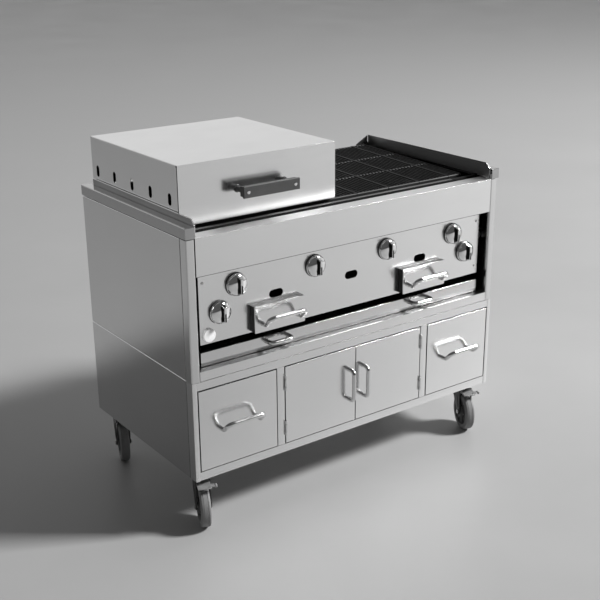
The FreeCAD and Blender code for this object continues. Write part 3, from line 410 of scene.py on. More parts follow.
def slot(u, v, half, radius, upright=False, steps=10):
    """A slot with round ends; half is the distance from its middle to each end's centre."""
    points = []
    for sign, start in ((1, -TAU / 4), (-1, TAU / 4)):
        for i in range(steps + 1):
            turn = start + TAU / 2 * i / steps
            across = sign * half + radius * math.cos(turn)
            rise = radius * math.sin(turn)
            points.append((u - rise, v + across) if upright else (u + across, v + rise))
    return points


def rectangle(low, high, radius=1.0):
    return rounded([(low[0], low[1]), (high[0], low[1]), (high[0], high[1]), (low[0], high[1])],
                   radius, 3, closed=True)


def plate(outlines, axis, low, high, edge=0.35):
    """A sheet with holes: the first outline less the others, with softened edges."""
    curve = bpy.data.curves.new("plate", "CURVE")
    curve.dimensions = "2D"
    curve.fill_mode = "BOTH"
    curve.extrude = (high - low) / 2 - edge
    curve.bevel_depth = edge
    curve.bevel_resolution = 1
    curve.offset = -edge
    for outline in outlines:
        spline = curve.splines.new("POLY")
        spline.points.add(len(outline) - 1)
        for point, (u, v) in zip(spline.points, outline):
            point.co = (u, v, 0, 1)
        spline.use_cyclic_u = True
    holder = bpy.data.objects.new("plate", curve)
    mesh = bpy.data.meshes.new_from_object(holder)
    middle = (low + high) / 2
    verts = [AXES[axis](v.co.x, v.co.y, middle + v.co.z) for v in mesh.vertices]
    faces = [list(p.vertices) for p in mesh.polygons]
    bpy.data.objects.remove(holder)
    bpy.data.meshes.remove(mesh)
    return verts, faces


def piece(name, parts, materials, body, finish, *stands_for, sharp=34):
    """One object from shapes; a part is a shape, or a shape with its material's number."""
    bm = bmesh.new()
    for part in parts:
        shape, number = part if isinstance(part[1], int) else (part, 0)
        verts = [bm.verts.new(Vector(v) * MM) for v in shape[0]]
        for loop in shape[1]:
            face = bm.faces.new([verts[i] for i in loop])
            face.material_index = number
            face.smooth = True
    bmesh.ops.remove_doubles(bm, verts=bm.verts, dist=1e-7)
    bmesh.ops.recalc_face_normals(bm, faces=bm.faces)
    for edge in bm.edges:
        if len(edge.link_faces) == 2:
            edge.smooth = edge.calc_face_angle(0) < math.radians(sharp)
    mesh = bpy.data.meshes.new(name)
    bm.to_mesh(mesh)
    bm.free()
    for material in materials:
        mesh.materials.append(material)
    thing = bpy.data.objects.new(name, mesh)
    bpy.context.scene.collection.objects.link(thing)
    even = thing.modifiers.new("even_normals", "WEIGHTED_NORMAL")
    even.keep_sharp = True
    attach(thing, body)
    if stands_for:
        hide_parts(*stands_for)
    return thing


def screw_head(axis, centre, face, sign, radius=4.2, tall=1.8):
    """A pan head with a recess, standing sign-wards off a face."""
    profile = [(0, face), (radius, face), (radius, face + sign * 0.5 * tall),
               (0.82 * radius, face + sign * 0.85 * tall), (0.45 * radius, face + sign * tall),
               (0.28 * radius, face + sign * tall), (0, face + sign * 0.45 * tall)]
    return lathe(profile, axis, centre, 24)


def side_span(sign, near, far):
    """Two distances from the middle, as a low and a high place on one side."""
    return sorted((sign * near, sign * far))


def both_sides(outline, near, far, edge):
    """Two like plates across Y, at the same distances on both sides of the middle."""
    return [plate([outline], "y", *side_span(sign, near, far), edge) for sign in (-1, 1)]


# ---------------------------------------------------------------- cabinet and body sheets

def frame_bars():
    """The cabinet's front frame and the body's front posts, as rounded tubes with fine seams."""
    face, rail_soft, post_soft = FRONT + 0.7, 1.6, 1.8
    low, high = corners("cabinet_front_frame")
    stile, bottom, top_low, depth = 15.5, 192.0, 442.0, FRONT + 22
    mullion_near, mullion_far = 266, 292
    inner = HALF - stile - SEAM / 2
    bars = [block((-inner, face, rail_low), (inner, depth, rail_high), rail_soft, "x")
            for rail_low, rail_high in ((low.z, bottom), (top_low, high.z))]
    for sign in (-1, 1):
        x0, x1 = side_span(sign, HALF - stile, HALF)
        bars.append(block((x0, FRONT, low.z), (x1, high.y, high.z), post_soft, "z"))
        x0, x1 = side_span(sign, mullion_near, mullion_far)
        bars.append(block((x0, face, bottom + SEAM / 2), (x1, depth, top_low - SEAM / 2),
                          rail_soft, "z"))
    piece("front_frame_bars", bars, [STEEL], "root", "stainless_front", "cabinet_front_frame")

    low, high = corners("body_front_frame")
    post, bar_top, round_post = 27.0, 497.0, 3.8
    lift = low.z + SEAM
    inner = HALF - post - SEAM / 2
    bars = [block((-inner, face, lift), (inner, high.y, bar_top), post_soft, "x")]
    for sign in (-1, 1):
        x0, x1 = side_span(sign, HALF - post, HALF)
        bars.append((block((x0, FRONT, lift), (x1, high.y, high.z - CAP_GAP), round_post, "z",
                           4), 1))
    piece("body_front_posts", bars, [STEEL, STRIP_STEEL], "root", "stainless_front",
          "body_front_frame")


def side_panels():
    """Folded side panels of the cabinet and of the body, with a seam behind the front posts."""
    flange, seam = 15.5, 0.8
    for node, gap in (("cabinet_sides", 0), ("body_sides", CAP_GAP)):
        low, high = corners(node)
        path = [(-HALF + flange, low.z), (-HALF, low.z), (-HALF, high.z - gap),
                (-HALF + flange, high.z - gap)]
        parts = [prism(folded(side), "y", low.y + seam, high.y)
                 for side in (path, [(-x, z) for x, z in path[::-1]])]
        piece(f"{node}_folded", parts, [SIDE_STEEL], "root", "stainless_body", node)


def caps():
    """The folded caps along both sides, each with a closed end plate."""
    low, high = corners("side_caps")
    width, end = 31.0, 2.0
    parts = []
    for sign in (-1, 1):
        x0, x1 = side_span(sign, high.x, high.x - width)
        parts.append(block((x0, low.y + 0.9, low.z), (x1, high.y, high.z), 2.6, "y", 3))
        parts.append(block((x0 + 0.5, low.y, low.z + 0.4), (x1 - 0.5, low.y + end, high.z - 0.6),
                           0.7))
    # The caps are painted darker as reflected shade.
    piece("folded_side_caps", parts, [CAP_STEEL_PAINTED_SHADE], "root", "stainless_body", "side_caps")


def fascia():
    """The deep front fascia, folded from one strip, with painted shade under it and painted light on
    top.
    """
    low, high = corners("fascia_panel")
    lower_flange, rear_hem = 26, 9
    path = [(FRONT + lower_flange, low.z), (FRONT, low.z), (FRONT, high.z), (high.y, high.z),
            (high.y, high.z - rear_hem)]
    strip = prism(folded(path, radius=SHARP_BEND), "x", low.x, high.x)
    # A dark strip under the lower edge: painted shade.
    shade_strip = block((low.x, FRONT + 0.2, low.z - 1.3), (high.x, FRONT + 2.0, low.z + 0.1), 0.2)
    # A lighter, rougher skin over the top flange: painted light.
    lit_flange = block((low.x, FRONT + 0.5, high.z - 0.3), (high.x, high.y, high.z + 0.06), 0.05)
    piece("fascia_folded", [strip, (shade_strip, 1), (lit_flange, 2)], [STEEL, DARK, TOP_STEEL_PAINTED_LIGHT], "root",
          "stainless_front", "fascia_panel")


def edge_screws(half, heights, face):
    """Rows of five low screws along a back panel's edges."""
    return [(screw_head("y", (share * half, z), face - 0.4, 1, 4.0, 0.4), 1)
            for share in (-1, -0.5, 0, 0.5, 1) for z in heights]


def rear_panels():
    """Back panels with edge screws and three groups of louvres."""
    inset, row = 18, 14
    low, high = corners("cabinet_back")
    parts = [block(low, high, 0.4), *edge_screws(high.x - inset, (low.z + row, high.z - row),
                                                 high.y)]
    piece("cabinet_back_panel", parts, [SIDE_STEEL, ZINC], "root", "stainless_body",
          "cabinet_back")

    low, high = corners("body_back")
    shoulder, lip, y = 876.5, 547.0, high.y
    outline = [(low.x, low.z), (high.x, low.z), (high.x, shoulder), (lip, shoulder),
               (lip, high.z), (-lip, high.z), (-lip, shoulder), (low.x, shoulder)]
    inlet = circle(corners("gas_manifold")[1].x - INLET_RADIUS, PIPE_HEIGHT, 14.5)
    parts = [plate([outline, inlet], "y", low.y, y)]
    first, pitch, half = 560, 26, 70
    for group in (-300, 0, 300):
        for z in range(first, first + 6 * pitch, pitch):
            hood = rounded([(y - 0.3, z + 8), (y + 4, z - 3), (y + 3.4, z - 4), (y - 0.3, z - 4)],
                           0.5, 2, closed=True)
            parts.append(prism(hood, "x", group - half, group + half))
            # Under each hood, a dark strip painted as the shade in the louvre's opening.
            parts.append((block((group - half + 1, y - 0.2, z - 7.5),
                                (group + half - 1, y + 0.15, z - 4), 0.1), 2))
    parts += edge_screws(high.x - inset, (low.z + row, shoulder - row), y)
    piece("body_back_panel", parts, [SIDE_STEEL, ZINC, DARK], "root", "stainless_body",
          "body_back")


# ---------------------------------------------------------------- pulls, drawers and doors

PULL_RADIUS = 6.5
PULL_REACH = 27.0
CRANK_REACH = 43.0
DRAWER_PULL = 124.0         # between the middles of its feet


def pull_shape(middle, span, upright=False, rise=0.0):
    """A bent-rod pull with a collar at each foot; a cranked one's loop climbs by rise."""
    bend, crank_bend = 16.0, 9.6
    x, y, z = middle
    reach = CRANK_REACH if rise else PULL_REACH
    points = []
    for along in (-1, 1):
        side = along * span / 2
        leg = [(side, 0, 0), (side, -reach, rise)]
        if rise:
            leg.insert(1, (side, rise - reach, 0))
        points += leg[::-along]
    if upright:
        points = [(w, v, u) for u, v, w in points]
    points = [(x + u, y + v, z + w) for u, v, w in points]
    middle_corner = (len(points) - 1) / 2
    radii = [bend if abs(i - middle_corner) < 1 else crank_bend for i in range(len(points))]
    parts = [tube(rounded(points, radii, 9), PULL_RADIUS, 24)]
    collar = [(PULL_RADIUS - 1, y), (PULL_RADIUS + 1.1, y), (PULL_RADIUS + 0.5, y - 0.7),
              (PULL_RADIUS - 0.2, y - 1.7), (PULL_RADIUS - 1, y - 1.7)]
    for foot in (points[0], points[-1]):
        parts.append(lathe(collar, "y", (foot[0], foot[2]), 28, closed=True))
    return parts


def pull_piece(node, span, upright=False, cranked=False):
    """The pull that stands for one CAD pull."""
    low, high = corners(node)
    rise = high.z - low.z - 2 * PULL_RADIUS if cranked else 0.0
    middle = ((low.x + high.x) / 2, high.y, (low.z + high.z - rise) / 2)
    body = node.removesuffix("_pull")
    piece(f"{node}_rod", pull_shape(middle, span, upright, rise), [ROD], body,
          "stainless_pull", node)


def flange_shades(low, high, number):
    """Unlit skins just outside the upper and side flanges of a folded front."""
    lip, inset, outside, inside = 1.4, 1.6, 0.1, 0.3
    near, far = low[1] + lip, high[1]
    skins = [((low[0] + inset, near, high[2] - inside), (high[0] - inset, far, high[2] + outside))]
    for x0, x1 in ((low[0] - outside, low[0] + inside), (high[0] - inside, high[0] + outside)):
        skins.append(((x0, near, low[2] + inset), (x1, far, high[2] - inset)))
    return [(block(*skin, 0.05), number) for skin in skins]


def cabinet_drawers():
    """Drawers: a folded front, the tub behind it and its runners."""
    inset, runner, thick = 14.0, 9.0, 20.0
    tub_low, tub_high, runner_low, runner_high = 215.0, 400.0, 306, 314
    for side in ("left", "right"):
        node = f"cabinet_drawer_{side}"
        low, high = corners(node)
        x0, x1 = low.x + inset, high.x - inset
        front = low, (high.x, low.y + thick, high.z)
        tub = shell((x0, low.y + SHEET, tub_low), (x1, high.y, tub_high), opening="+z")
        parts = [shell(*front, radius=TIGHT_BEND), *flange_shades(*front, 3), (tub, 1)]
        for start, stop in ((x0 - runner, x0), (x1, x1 + runner)):
            parts.append((block((start, low.y + 30, runner_low),
                                (stop, high.y - 10, runner_high), 1.0), 2))
        piece(f"{node}_box", parts, [STEEL, SIDE_STEEL, ZINC, DARK], node, "stainless_front",
              node)
        pull_piece(f"{node}_pull", DRAWER_PULL, cranked=True)


def knuckle(line, leaf, low, high):
    """A rolled hinge knuckle, and the leaf that reaches from it along X."""
    x0, x1 = sorted((line.x, line.x + leaf))
    return [disc(3.2, "z", (line.x, line.y), low, high, 0.5, 24),
            block((x0, FRONT - SHEET, low), (x1, FRONT - 0.02, high), 0.4)]


def doors():
    """Cupboard doors with the middle knuckles of their hinges, and the fixed hinge halves."""
    thick, edge, leaf, half, gap, pin = 20.0, 263.0, 5.0, 12.0, 0.5, 1.5
    fixed = []
    for side, sign in (("left", -1), ("right", 1)):
        node = f"cupboard_door_{side}"
        low, high = corners(node)
        line = joint_place(f"{node}_hinge")
        x0, x1 = (-edge, high.x) if sign < 0 else (low.x, edge)
        front = (x0, FRONT, low.z), (x1, FRONT + thick, high.z)
        parts = [shell(*front, radius=TIGHT_BEND), *flange_shades(*front, 2)]
        for height in (245.0, 390.0):
            start, stop = height - 2 * half, height + 2 * half
            moving = knuckle(line, -sign * leaf, height - half, height + half)
            parts += [(shape, 1) for shape in moving]
            fixed += knuckle(line, sign * leaf, start, height - half - gap)
            fixed += knuckle(line, sign * leaf, height + half + gap, stop)
            fixed.append(disc(pin, "z", (line.x, line.y), start, stop, 0.4, 16))
        piece(f"{node}_panel", parts, [STEEL, ROD, DARK], node, "stainless_front", node)
        pull_piece(f"{node}_pull", 98.0, upright=True)
    piece("door_hinges_fixed", fixed, [ROD], "root", "stainless_pull", "door_hinge_pins")


def box_drawers():
    """The two small drawers of the control panel: a face plate, a casing painted dark as shade, a
    tub.
    """
    depth, wall, face, inset, tub_low, tub_high = 21.5, 8.0, 2.5, 0.8, 568, 632
    for side in ("left", "right"):
        node = f"box_drawer_{side}"
        low, high = corners(node)
        x0, x1, near, far = low.x + inset, high.x - inset, low.y + face - 0.1, low.y + depth
        casing = shell((x0, near, low.z + inset), (x1, far, high.z - inset))
        cover = block((x0, near, high.z - 1.2), (x1, far, high.z - 0.5), 0.3)
        tub = shell((low.x + wall, low.y + SHEET, tub_low), (high.x - wall, high.y, tub_high),
                    opening="+z")
        parts = [block(low, (high.x, low.y + face, high.z), 0.8), (casing, 2), (cover, 1),
                 (tub, 1)]
        piece(f"{node}_box", parts, [STEEL, SIDE_STEEL, DRAWER_SIDE_PAINTED_SHADE], node, "stainless_front",
              node)
        pull_piece(f"{node}_pull", DRAWER_PULL, cranked=True)


def drip_tray():
    """The wide tray: a folded front strip, its tub and two short pulls."""
    low, high = corners("drip_tray")
    flange, half, tub_low, tub_high, span = 9, 520, 501, 535, 76.0
    back = low.y + flange
    strip = folded([(back, low.z), (low.y, low.z), (low.y, high.z), (back, high.z)],
                   radius=TIGHT_BEND)
    shade = block((low.x + 1, low.y + 1.2, low.z - 0.1), (high.x - 1, back, low.z + 0.4), 0.1)
    tub = shell((-half, low.y + SHEET, tub_low), (half, high.y, tub_high), opening="+z")
    piece("drip_tray_box", [prism(strip, "x", low.x, high.x), (tub, 1), (shade, 2)],
          [STRIP_STEEL, SIDE_STEEL, DARK], "drip_tray", "stainless_front", "drip_tray")
    low, high = corners("drip_tray_pulls")
    out, level = high.x - PULL_RADIUS - span / 2, (low.z + high.z) / 2
    parts = [shape for x in (-out, out) for shape in pull_shape((x, high.y, level), span)]
    piece("drip_tray_pull_rods", parts, [ROD], "drip_tray", "stainless_pull", "drip_tray_pulls")


# ---------------------------------------------------------------- controls

KNOBS = ("pilot_knob_left", "burner_knob_1", "burner_knob_2", "burner_knob_3", "burner_knob_4",
         "pilot_knob_right")


def control_plate():
    """The control panel with its shaft holes, air slots and drawer openings."""
    low, high = corners("control_panel")
    shaft, slot_out, slot_height, slot_half = 6, 273.5, 662, 12
    drawer_out, drawer_half, drawer_low, drawer_high = 275, 81, 566, 634
    places = [joint_place(f"{name}_turn") for name in KNOBS]
    holes = [circle(place.x, place.z, shaft) for place in places]
    holes += [slot(x, slot_height, slot_half, slot_half) for x in (-slot_out, 0, slot_out)]
    holes += [rectangle((x - drawer_half, drawer_low), (x + drawer_half, drawer_high))
              for x in (-drawer_out, drawer_out)]
    outline = rectangle((low.x, low.z), (high.x, high.z), 0.6)
    piece("control_plate", [plate([outline, *holes], "y", low.y, high.y)], [STEEL], "root",
          "stainless_front", "control_panel")


def wedge(centre, base, top, foot, head, soft):
    """A tapered blade that stands on -Y; foot and head are its half sizes in X and Z."""
    bm = bmesh.new()
    bmesh.ops.create_cube(bm, size=2)
    for vert in bm.verts:
        half = head if vert.co.y < 0 else foot
        vert.co = Vector((centre[0] + half[0] * vert.co.x, top if vert.co.y < 0 else base,
                          centre[1] + half[1] * vert.co.z))
    bmesh.ops.bevel(bm, geom=list(bm.edges), offset=soft, segments=3, profile=0.5,
                    affect="EDGES")
    return from_bmesh(bm)


def knobs():
    """Chrome knobs: a dome, a tapered blade with sides painted dark as shade and a black line; and
    their bezels.
    """
    start, dome, steps, line, root = 4.5, 15.0, 18, 2.4, 6
    rings = []
    panel, ring_top = corners("control_panel")[0].y, corners("knob_bezels")[0].y
    ring = [(6.2, panel), (34, panel), (34, panel - 1.0), (33.2, panel - 1.9), (31.5, ring_top),
            (6.2, ring_top)]
    for name in KNOBS:
        low, high = corners(name)
        x, z = (low.x + high.x) / 2, (low.z + high.z) / 2
        radius = (high.x - low.x) / 2
        base, top = high.y, low.y
        rise = [(0, 0), (radius - 1, 0), (radius - 0.2, 0.5), (radius, 1.4)]
        for step in range(steps + 1):
            turn = TAU / 4 * step / steps
            rise.append((radius * math.cos(turn), start + dome * math.sin(turn)))
        parts = [lathe([(r, base - h) for r, h in rise], "y", (x, z), 64),
                 wedge((x, z), base - root, top, (6.4, 29), (3.6, 22), 1.0),
                 # A slightly wider dark copy of the blade, short of its face: painted shade on the
                 # blade's sides.
                 (wedge((x, z), base - root, top + 1.5, (6.7, 27), (3.9, 19), 0.6), 1),
                 (block((x - line, top - 0.02, z - 21), (x + line, top + 2, z + 3), 0.2), 1)]
        piece(f"{name}_chrome", parts, [CHROME, DARK], name, "chrome", name)
        place = joint_place(f"{name}_turn")
        rings.append(lathe(ring, "y", (place.x, place.z), 48, closed=True))
    piece("knob_bezel_rings", rings, [BEZEL], "root", "bezel_dark", "knob_bezels")


def dial_and_screws():
    """The plain round dial, and the control panel's screws."""
    low, high = corners("temperature_dial")
    centre = ((low.x + high.x) / 2, (low.z + high.z) / 2)
    radius, face = (high.x - low.x) / 2, low.y
    profile = [(0, high.y), (radius, high.y), (radius, face + 1.2), (radius - 0.5, face + 0.4),
               (radius - 1.6, face), (0, face)]
    piece("temperature_dial_disc", [lathe(profile, "y", centre, 48)], [ENAMEL], "root",
          "dial_white", "temperature_dial")
    low, high = corners("panel_screws")
    parts = [screw_head("y", place, high.y, -1, 4.5, high.y - low.y)
             for place in ((-515, 740), (515, 740), (515, 590))]
    piece("panel_screw_heads", parts, [SCREW], "root", "stainless_pull", "panel_screws")


# ---------------------------------------------------------------- grates and guards

def grates():
    """Cast grates: rounded bars, raised side bars and ribbed cross bars, all on one slope."""
    left = corners("cooking_grates")[0].x
    pitch, gap, full, filler = 125.0, 1.5, 8, 57.0
    long, bar, tall, rib, slope = 498.0, 4.4, 12.0, 8, math.radians(1.85)
    places = [(left + i * pitch, pitch - gap, 10) for i in range(full)]
    places.append((left + full * pitch, filler - gap, 5))
    parts = []
    for start, width, count in places:
        step = (width - bar) / (count - 1)
        for i in range(count):
            x = start + bar / 2 + i * step
            top, half = (0.0, bar / 2) if i in (0, count - 1) else (-0.7, bar / 2 - 0.3)
            side = [(half - 0.7, -tall), (half, top - 1.6), (half - 0.5, top - 0.5),
                    (half - 1.4, top)]
            section = [(x + u, v) for u, v in side] + [(x - u, v) for u, v in side[::-1]]
            parts.append(prism(section, "y", 2.0, long - 2.0))
        for n in range(4):
            y = n * (long - rib) / 3
            top = -1.2 if n in (0, 3) else -1.6
            section = rounded([(y, -tall - 2), (y + rib, -tall - 2), (y + rib, top), (y, top)],
                              [0.5, 0.5, 3.4, 3.4], 4, closed=True)
            parts.append(prism(section, "x", start + 0.3, start + width - 0.3))
    lean = Matrix.Translation((0, FRONT + 100, 884)) @ Matrix.Rotation(slope, 4, "X")
    parts = [moved(part, lean) for part in parts]
    piece("cast_grate_set", parts, [IRON], "root", "cast_iron_black", "cooking_grates", sharp=50)


def grate_rests():
    """The ledge in front of the grates, painted light on top, and the two rests under them."""
    low, high = corners("grate_rails")
    tall, bright_end, rest = 9.5, 437.0, FRONT + 104
    ledge_low, ledge_top, ledge_back = 874.0, 881.0, low.y + 12
    ledge = block((low.x, low.y, ledge_low), (high.x, ledge_back, ledge_top - 0.2), 0.6)
    # A lighter strip on the ledge's top: painted light, ending where the guard's shadow falls.
    bright = block((low.x, low.y + 0.1, ledge_top - 0.8), (bright_end, ledge_back, ledge_top),
                   0.3)
    parts = [ledge, (bright, 1),
             block((low.x, rest, low.z), (high.x, rest + 8, low.z + tall), 0.8),
             block((low.x, high.y - 6, high.z - tall), (high.x, high.y, high.z), 0.8)]
    piece("grate_rest_bars", parts, [SOOT, HOT_STEEL], "root", "firebox_steel", "grate_rails")


def guards():
    """Splash guards; the right one has a short wing at the back, beside an open slit."""
    low, high = corners("splash_guards")
    thick, chamfer, foot, lift = 2.5, 16.0, FRONT + 60, low.z + 5
    parts = []
    for sign, front, back in ((-1, low.y, FRONT + 594), (1, low.y + 8, high.y)):
        outline = [(front, low.z), (front, high.z - chamfer), (front + chamfer, high.z),
                   (back, high.z), (back, lift), (foot, lift), (foot, low.z)]
        shape = rounded(outline, [0.5, 7, 7, 1.0, 0.5, 0.5, 0.5], 4, closed=True)
        x0, x1 = side_span(sign, high.x, high.x - thick)
        parts.append(plate([shape], "x", x0, x1, 0.6))
        # A strip of the lighter front steel along the front and top edges: painted highlight on the
        # lit edge.
        rim = [(front - 0.1, low.z + 8), (front - 0.1, high.z - chamfer),
               (front + chamfer, high.z + 0.1), (back + 0.05, high.z + 0.1)]
        parts.append((prism(folded(rim, 1.3, 7.0), "x", x0 - 0.05, x1 + 0.05), 1))
    wall, wing, slit = high.x - thick, high.x - 57, 3.2
    wing_shape = [(wing, lift), (wall, lift), (wall, low.z + 22), (wall - slit, low.z + 22),
                  (wall - slit, high.z - 2), (wing, low.z + 18)]
    parts.append(plate([wing_shape], "y", high.y - thick, high.y, 0.5))
    piece("splash_guard_pair", parts, [GUARD_STEEL_PAINTED_SHADE, STEEL], "root", "stainless_body",
          "splash_guards")


def ledge_tab():
    """The small bent tab that stands in the slot in front of the grates."""
    near, far, foot, top, left, right = FRONT + 52, FRONT + 70, 862, 875, -97, -85
    tab = prism(folded([(near, foot), (near, top), (far, top)], 2.0, 3.0), "x", left, right)
    piece("front_ledge_tab", [tab], [HOT_STEEL], "root", "firebox_steel")


# ---------------------------------------------------------------- lid

def lid():
    """The lid: a sheet folded over front, top and back, a dark lining, side walls and vents."""
    low, high = corners("lid_shell")
    left, right, front, rear, rear_low = low.x, high.x, low.y, FRONT + 604, 904.5
    seam, inset, gap = 0.9, 1.2, 1.6
    wrap = [(front, low.z), (front, high.z), (rear, high.z), (rear, rear_low)]
    inner = [(front + gap, low.z + 2), (front + gap, high.z - gap), (rear - gap, high.z - gap),
             (rear - gap, rear_low + 2)]
    lining = prism(folded(inner, 0.4, TIGHT_BEND), "x", left + 2.2, right - 2.2)
    lining_end = plate([rounded(inner, 0.5, 2, closed=True)], "x", right - 2.6, right - 2.0, 0.1)
    side = rounded([(front + 3, low.z), (front + 3, high.z - inset), (rear - inset, high.z - inset),
                    (rear - inset, rear_low)], [0.5, 4, 4, 0.5], 4, closed=True)
    vents = [slot(FRONT + y, 955, 8, 9, upright=True) for y in (134, 242, 350, 458, 566)]
    # A dark strip and a dark dot at the front-left corner: painted shade in the seam.
    seam_shade = block((left + 0.3, front + 1.0, low.z + 1), (left + 2, front + 3.6, high.z - 3),
                      0.3)
    corner_dot_shade = disc(2.2, "x", (front + 3.2, high.z - 3.6), left - 0.02, left + 2, 0.2, 16)
    parts = [prism(folded(wrap, radius=SHARP_BEND), "x", left + seam, right - seam),
             (lining, 3), (lining_end, 3), plate([side, *vents], "x", left, left + SHEET, 0.4),
             plate([side], "x", right - SHEET, right, 0.4), (seam_shade, 2), (corner_dot_shade, 2)]
    pin = joint_place("lid_hinge")
    for _, (start, stop) in hinge_places():
        parts += [(disc(4.5, "x", (pin.y, pin.z), start, stop, 0.5, 24), 1),
                  (block((start, rear - 0.2, pin.z), (stop, rear + 1.5, pin.z + 25), 0.5), 1)]
    piece("lid_folded", parts, [LID_STEEL, ROD, DARK, SOOT], "lid", "stainless_lid",
          "lid_shell")


def hinge_places():
    """X spans of the fixed and the moving knuckle of each lid hinge."""
    low, high = corners("lid_shell")
    middle, out, half, gap = (low.x + high.x) / 2, 190, 30, 0.25
    return [((x - half, x - gap), (x + gap, x + half)) for x in (middle - out, middle + out)]


def lid_hinges():
    """Fixed knuckles, pins and the bracket legs they stand on."""
    foot, leg = corners("lid_hinge_brackets")[0].z, BACK - 4.5
    pin = joint_place("lid_hinge")
    parts = []
    for (start, stop), (_, pin_end) in hinge_places():
        parts += [disc(4.5, "x", (pin.y, pin.z), start, stop, 0.5, 24),
                  disc(2.5, "x", (pin.y, pin.z), start, pin_end, 0.4, 16),
                  block((start, leg, foot), (stop, BACK - 1.6, pin.z), 0.5)]
        parts += [screw_head("y", ((start + stop) / 2, foot + rise), leg, -1, 3.2, 1.6)
                  for rise in (6, 16)]
    piece("lid_hinge_fixed", parts, [ROD], "root", "stainless_pull", "lid_hinge_brackets")


def lid_grip():
    """The dark bar grip: a face plate over a narrower core, with two bright screws and posts."""
    low, high = corners("lid_handle_grip")
    plate_thick, step, face = 7.0, 2.2, low.y + 0.9
    parts = [block((low.x, face, low.z), (high.x, face + plate_thick, high.z), 1.6, segments=3),
             block((low.x + step, low.y + plate_thick - 1.5, low.z + step),
                   (high.x - step, high.y, high.z - step), 2.4, segments=3)]
    post_low, post_high = corners("lid_handle_posts")
    post, collar = 8, 11
    posts = []
    for x in (post_low.x + post, post_high.x - post):
        centre = (x, (low.z + high.z) / 2)
        parts.append((screw_head("y", centre, face, -1, 5.2, 0.9), 1))
        posts += [disc(post, "y", centre, post_low.y, post_high.y, 0.8, 32),
                  disc(collar, "y", centre, post_high.y - 1.6, post_high.y - 0.05, 0.6, 32)]
    piece("lid_grip_bar", parts, [GRIP, ROD], "lid", "lid_grip_dark", "lid_handle_grip")
    piece("lid_grip_posts", posts, [GRIP], "lid", "lid_grip_dark", "lid_handle_posts")


# ---------------------------------------------------------------- casters

CASTERS = ("front_left", "front_right", "rear_left", "rear_right")
TRAIL, AXLE_HEIGHT, FORK_OUT, FORK_THICK = 35.0, 62.5, 23.0, 3.0
PEDAL_PIVOT = (34, 141)     # along the trail, and its height


def placed(parts, corner):
    """Parts made in a caster's own frame, its wheel trailing along +X, moved to their corner."""
    swivel = joint_place(f"caster_{corner}_swivel")
    wheel = joint_place(f"wheel_{corner}_roll")
    turn = math.atan2(wheel.y - swivel.y, wheel.x - swivel.x)
    spot = Matrix.Translation((swivel.x, swivel.y, 0)) @ Matrix.Rotation(turn, 4, "Z")
    return [(moved(part[0], spot), part[1]) if isinstance(part[1], int) else moved(part, spot)
            for part in parts]


def caster_mounts():
    """Top plates with rounded corners, bearing cups, kingpins and four bolts each."""
    top = corners("caster_plates")[1].z
    plate_low, half, bolt_out = top - 4, 42.0, 33
    cup = [(0, plate_low), (27, plate_low), (30, plate_low - 1), (30, 158.7), (29, 158.5),
           (0, 158.5)]
    parts = []
    for corner in CASTERS:
        x, y, _ = joint_place(f"caster_{corner}_swivel")
        square = rectangle((x - half, y - half), (x + half, y + half), 6)
        parts += [plate([square], "z", plate_low, top, 0.7), (lathe(cup, "z", (x, y), 48), 1),
                  (disc(6, "z", (x, y), 141, 160, 0.5, 24), 1)]
        parts += [(disc(5, "z", (x + dx, y + dy), plate_low - 3, plate_low, 0.6, 6), 1)
                  for dx in (-bolt_out, bolt_out) for dy in (-bolt_out, bolt_out)]
    piece("caster_top_plates", parts, [FORK, ZINC], "root", "caster_steel", "caster_plates")


def caster_forks():
    """Pressed forks: bearing head, bent crown, two tapered cheeks with a rib, axle bolt."""
    out, inside, axle = FORK_OUT, FORK_OUT - FORK_THICK, (TRAIL, AXLE_HEIGHT)
    head = [(6.05, 136), (24, 136), (24, 152), (23, 156.5), (20.5, 158), (6.05, 158)]
    crown = folded([(-out, 124), (-out, 136), (out, 136), (out, 124)], FORK_THICK, 5.0, 5)
    cheek = rounded([(-22, 125), (40, 125), (47, 66.5), (41, 51.5), (29, 51.5), (21, 66.5)],
                    [2, 2, 12, 9, 9, 12], 5, closed=True)
    rib = rounded([(-8, 116), (26, 116), (36, 78), (30, 78)], 4, 3, closed=True)
    ear = rounded([(28, 124), (42, 124), (39, 145), (30, 145)], [1, 1, 4, 4], 4, closed=True)
    for corner in CASTERS:
        parts = [lathe(head, "z", (0, 0), 48, closed=True), prism(crown, "x", -22, 40),
                 *both_sides(cheek, out, inside, 0.6), *both_sides(rib, out - 0.4, out + 1.2, 0.5),
                 (disc(5, "y", axle, -out, out, 0.3, 20), 1)]
        parts += [(disc(8.5, "y", axle, *side_span(sign, out - 0.2, out + 3), 0.8, 6), 1)
                  for sign in (-1, 1)]
        if corner.startswith("front"):
            parts += both_sides(ear, out, inside, 0.5)
            parts.append((disc(2.5, "y", PEDAL_PIVOT, -out, out, 0.4, 16), 1))
        piece(f"caster_fork_{corner}_pressed", placed(parts, corner), [FORK, ZINC],
              f"caster_{corner}", "caster_steel", f"caster_fork_{corner}")


def mirrored(profile):
    """A (radius, place) profile and its mirror image."""
    return profile + [(radius, -along) for radius, along in profile[::-1]]


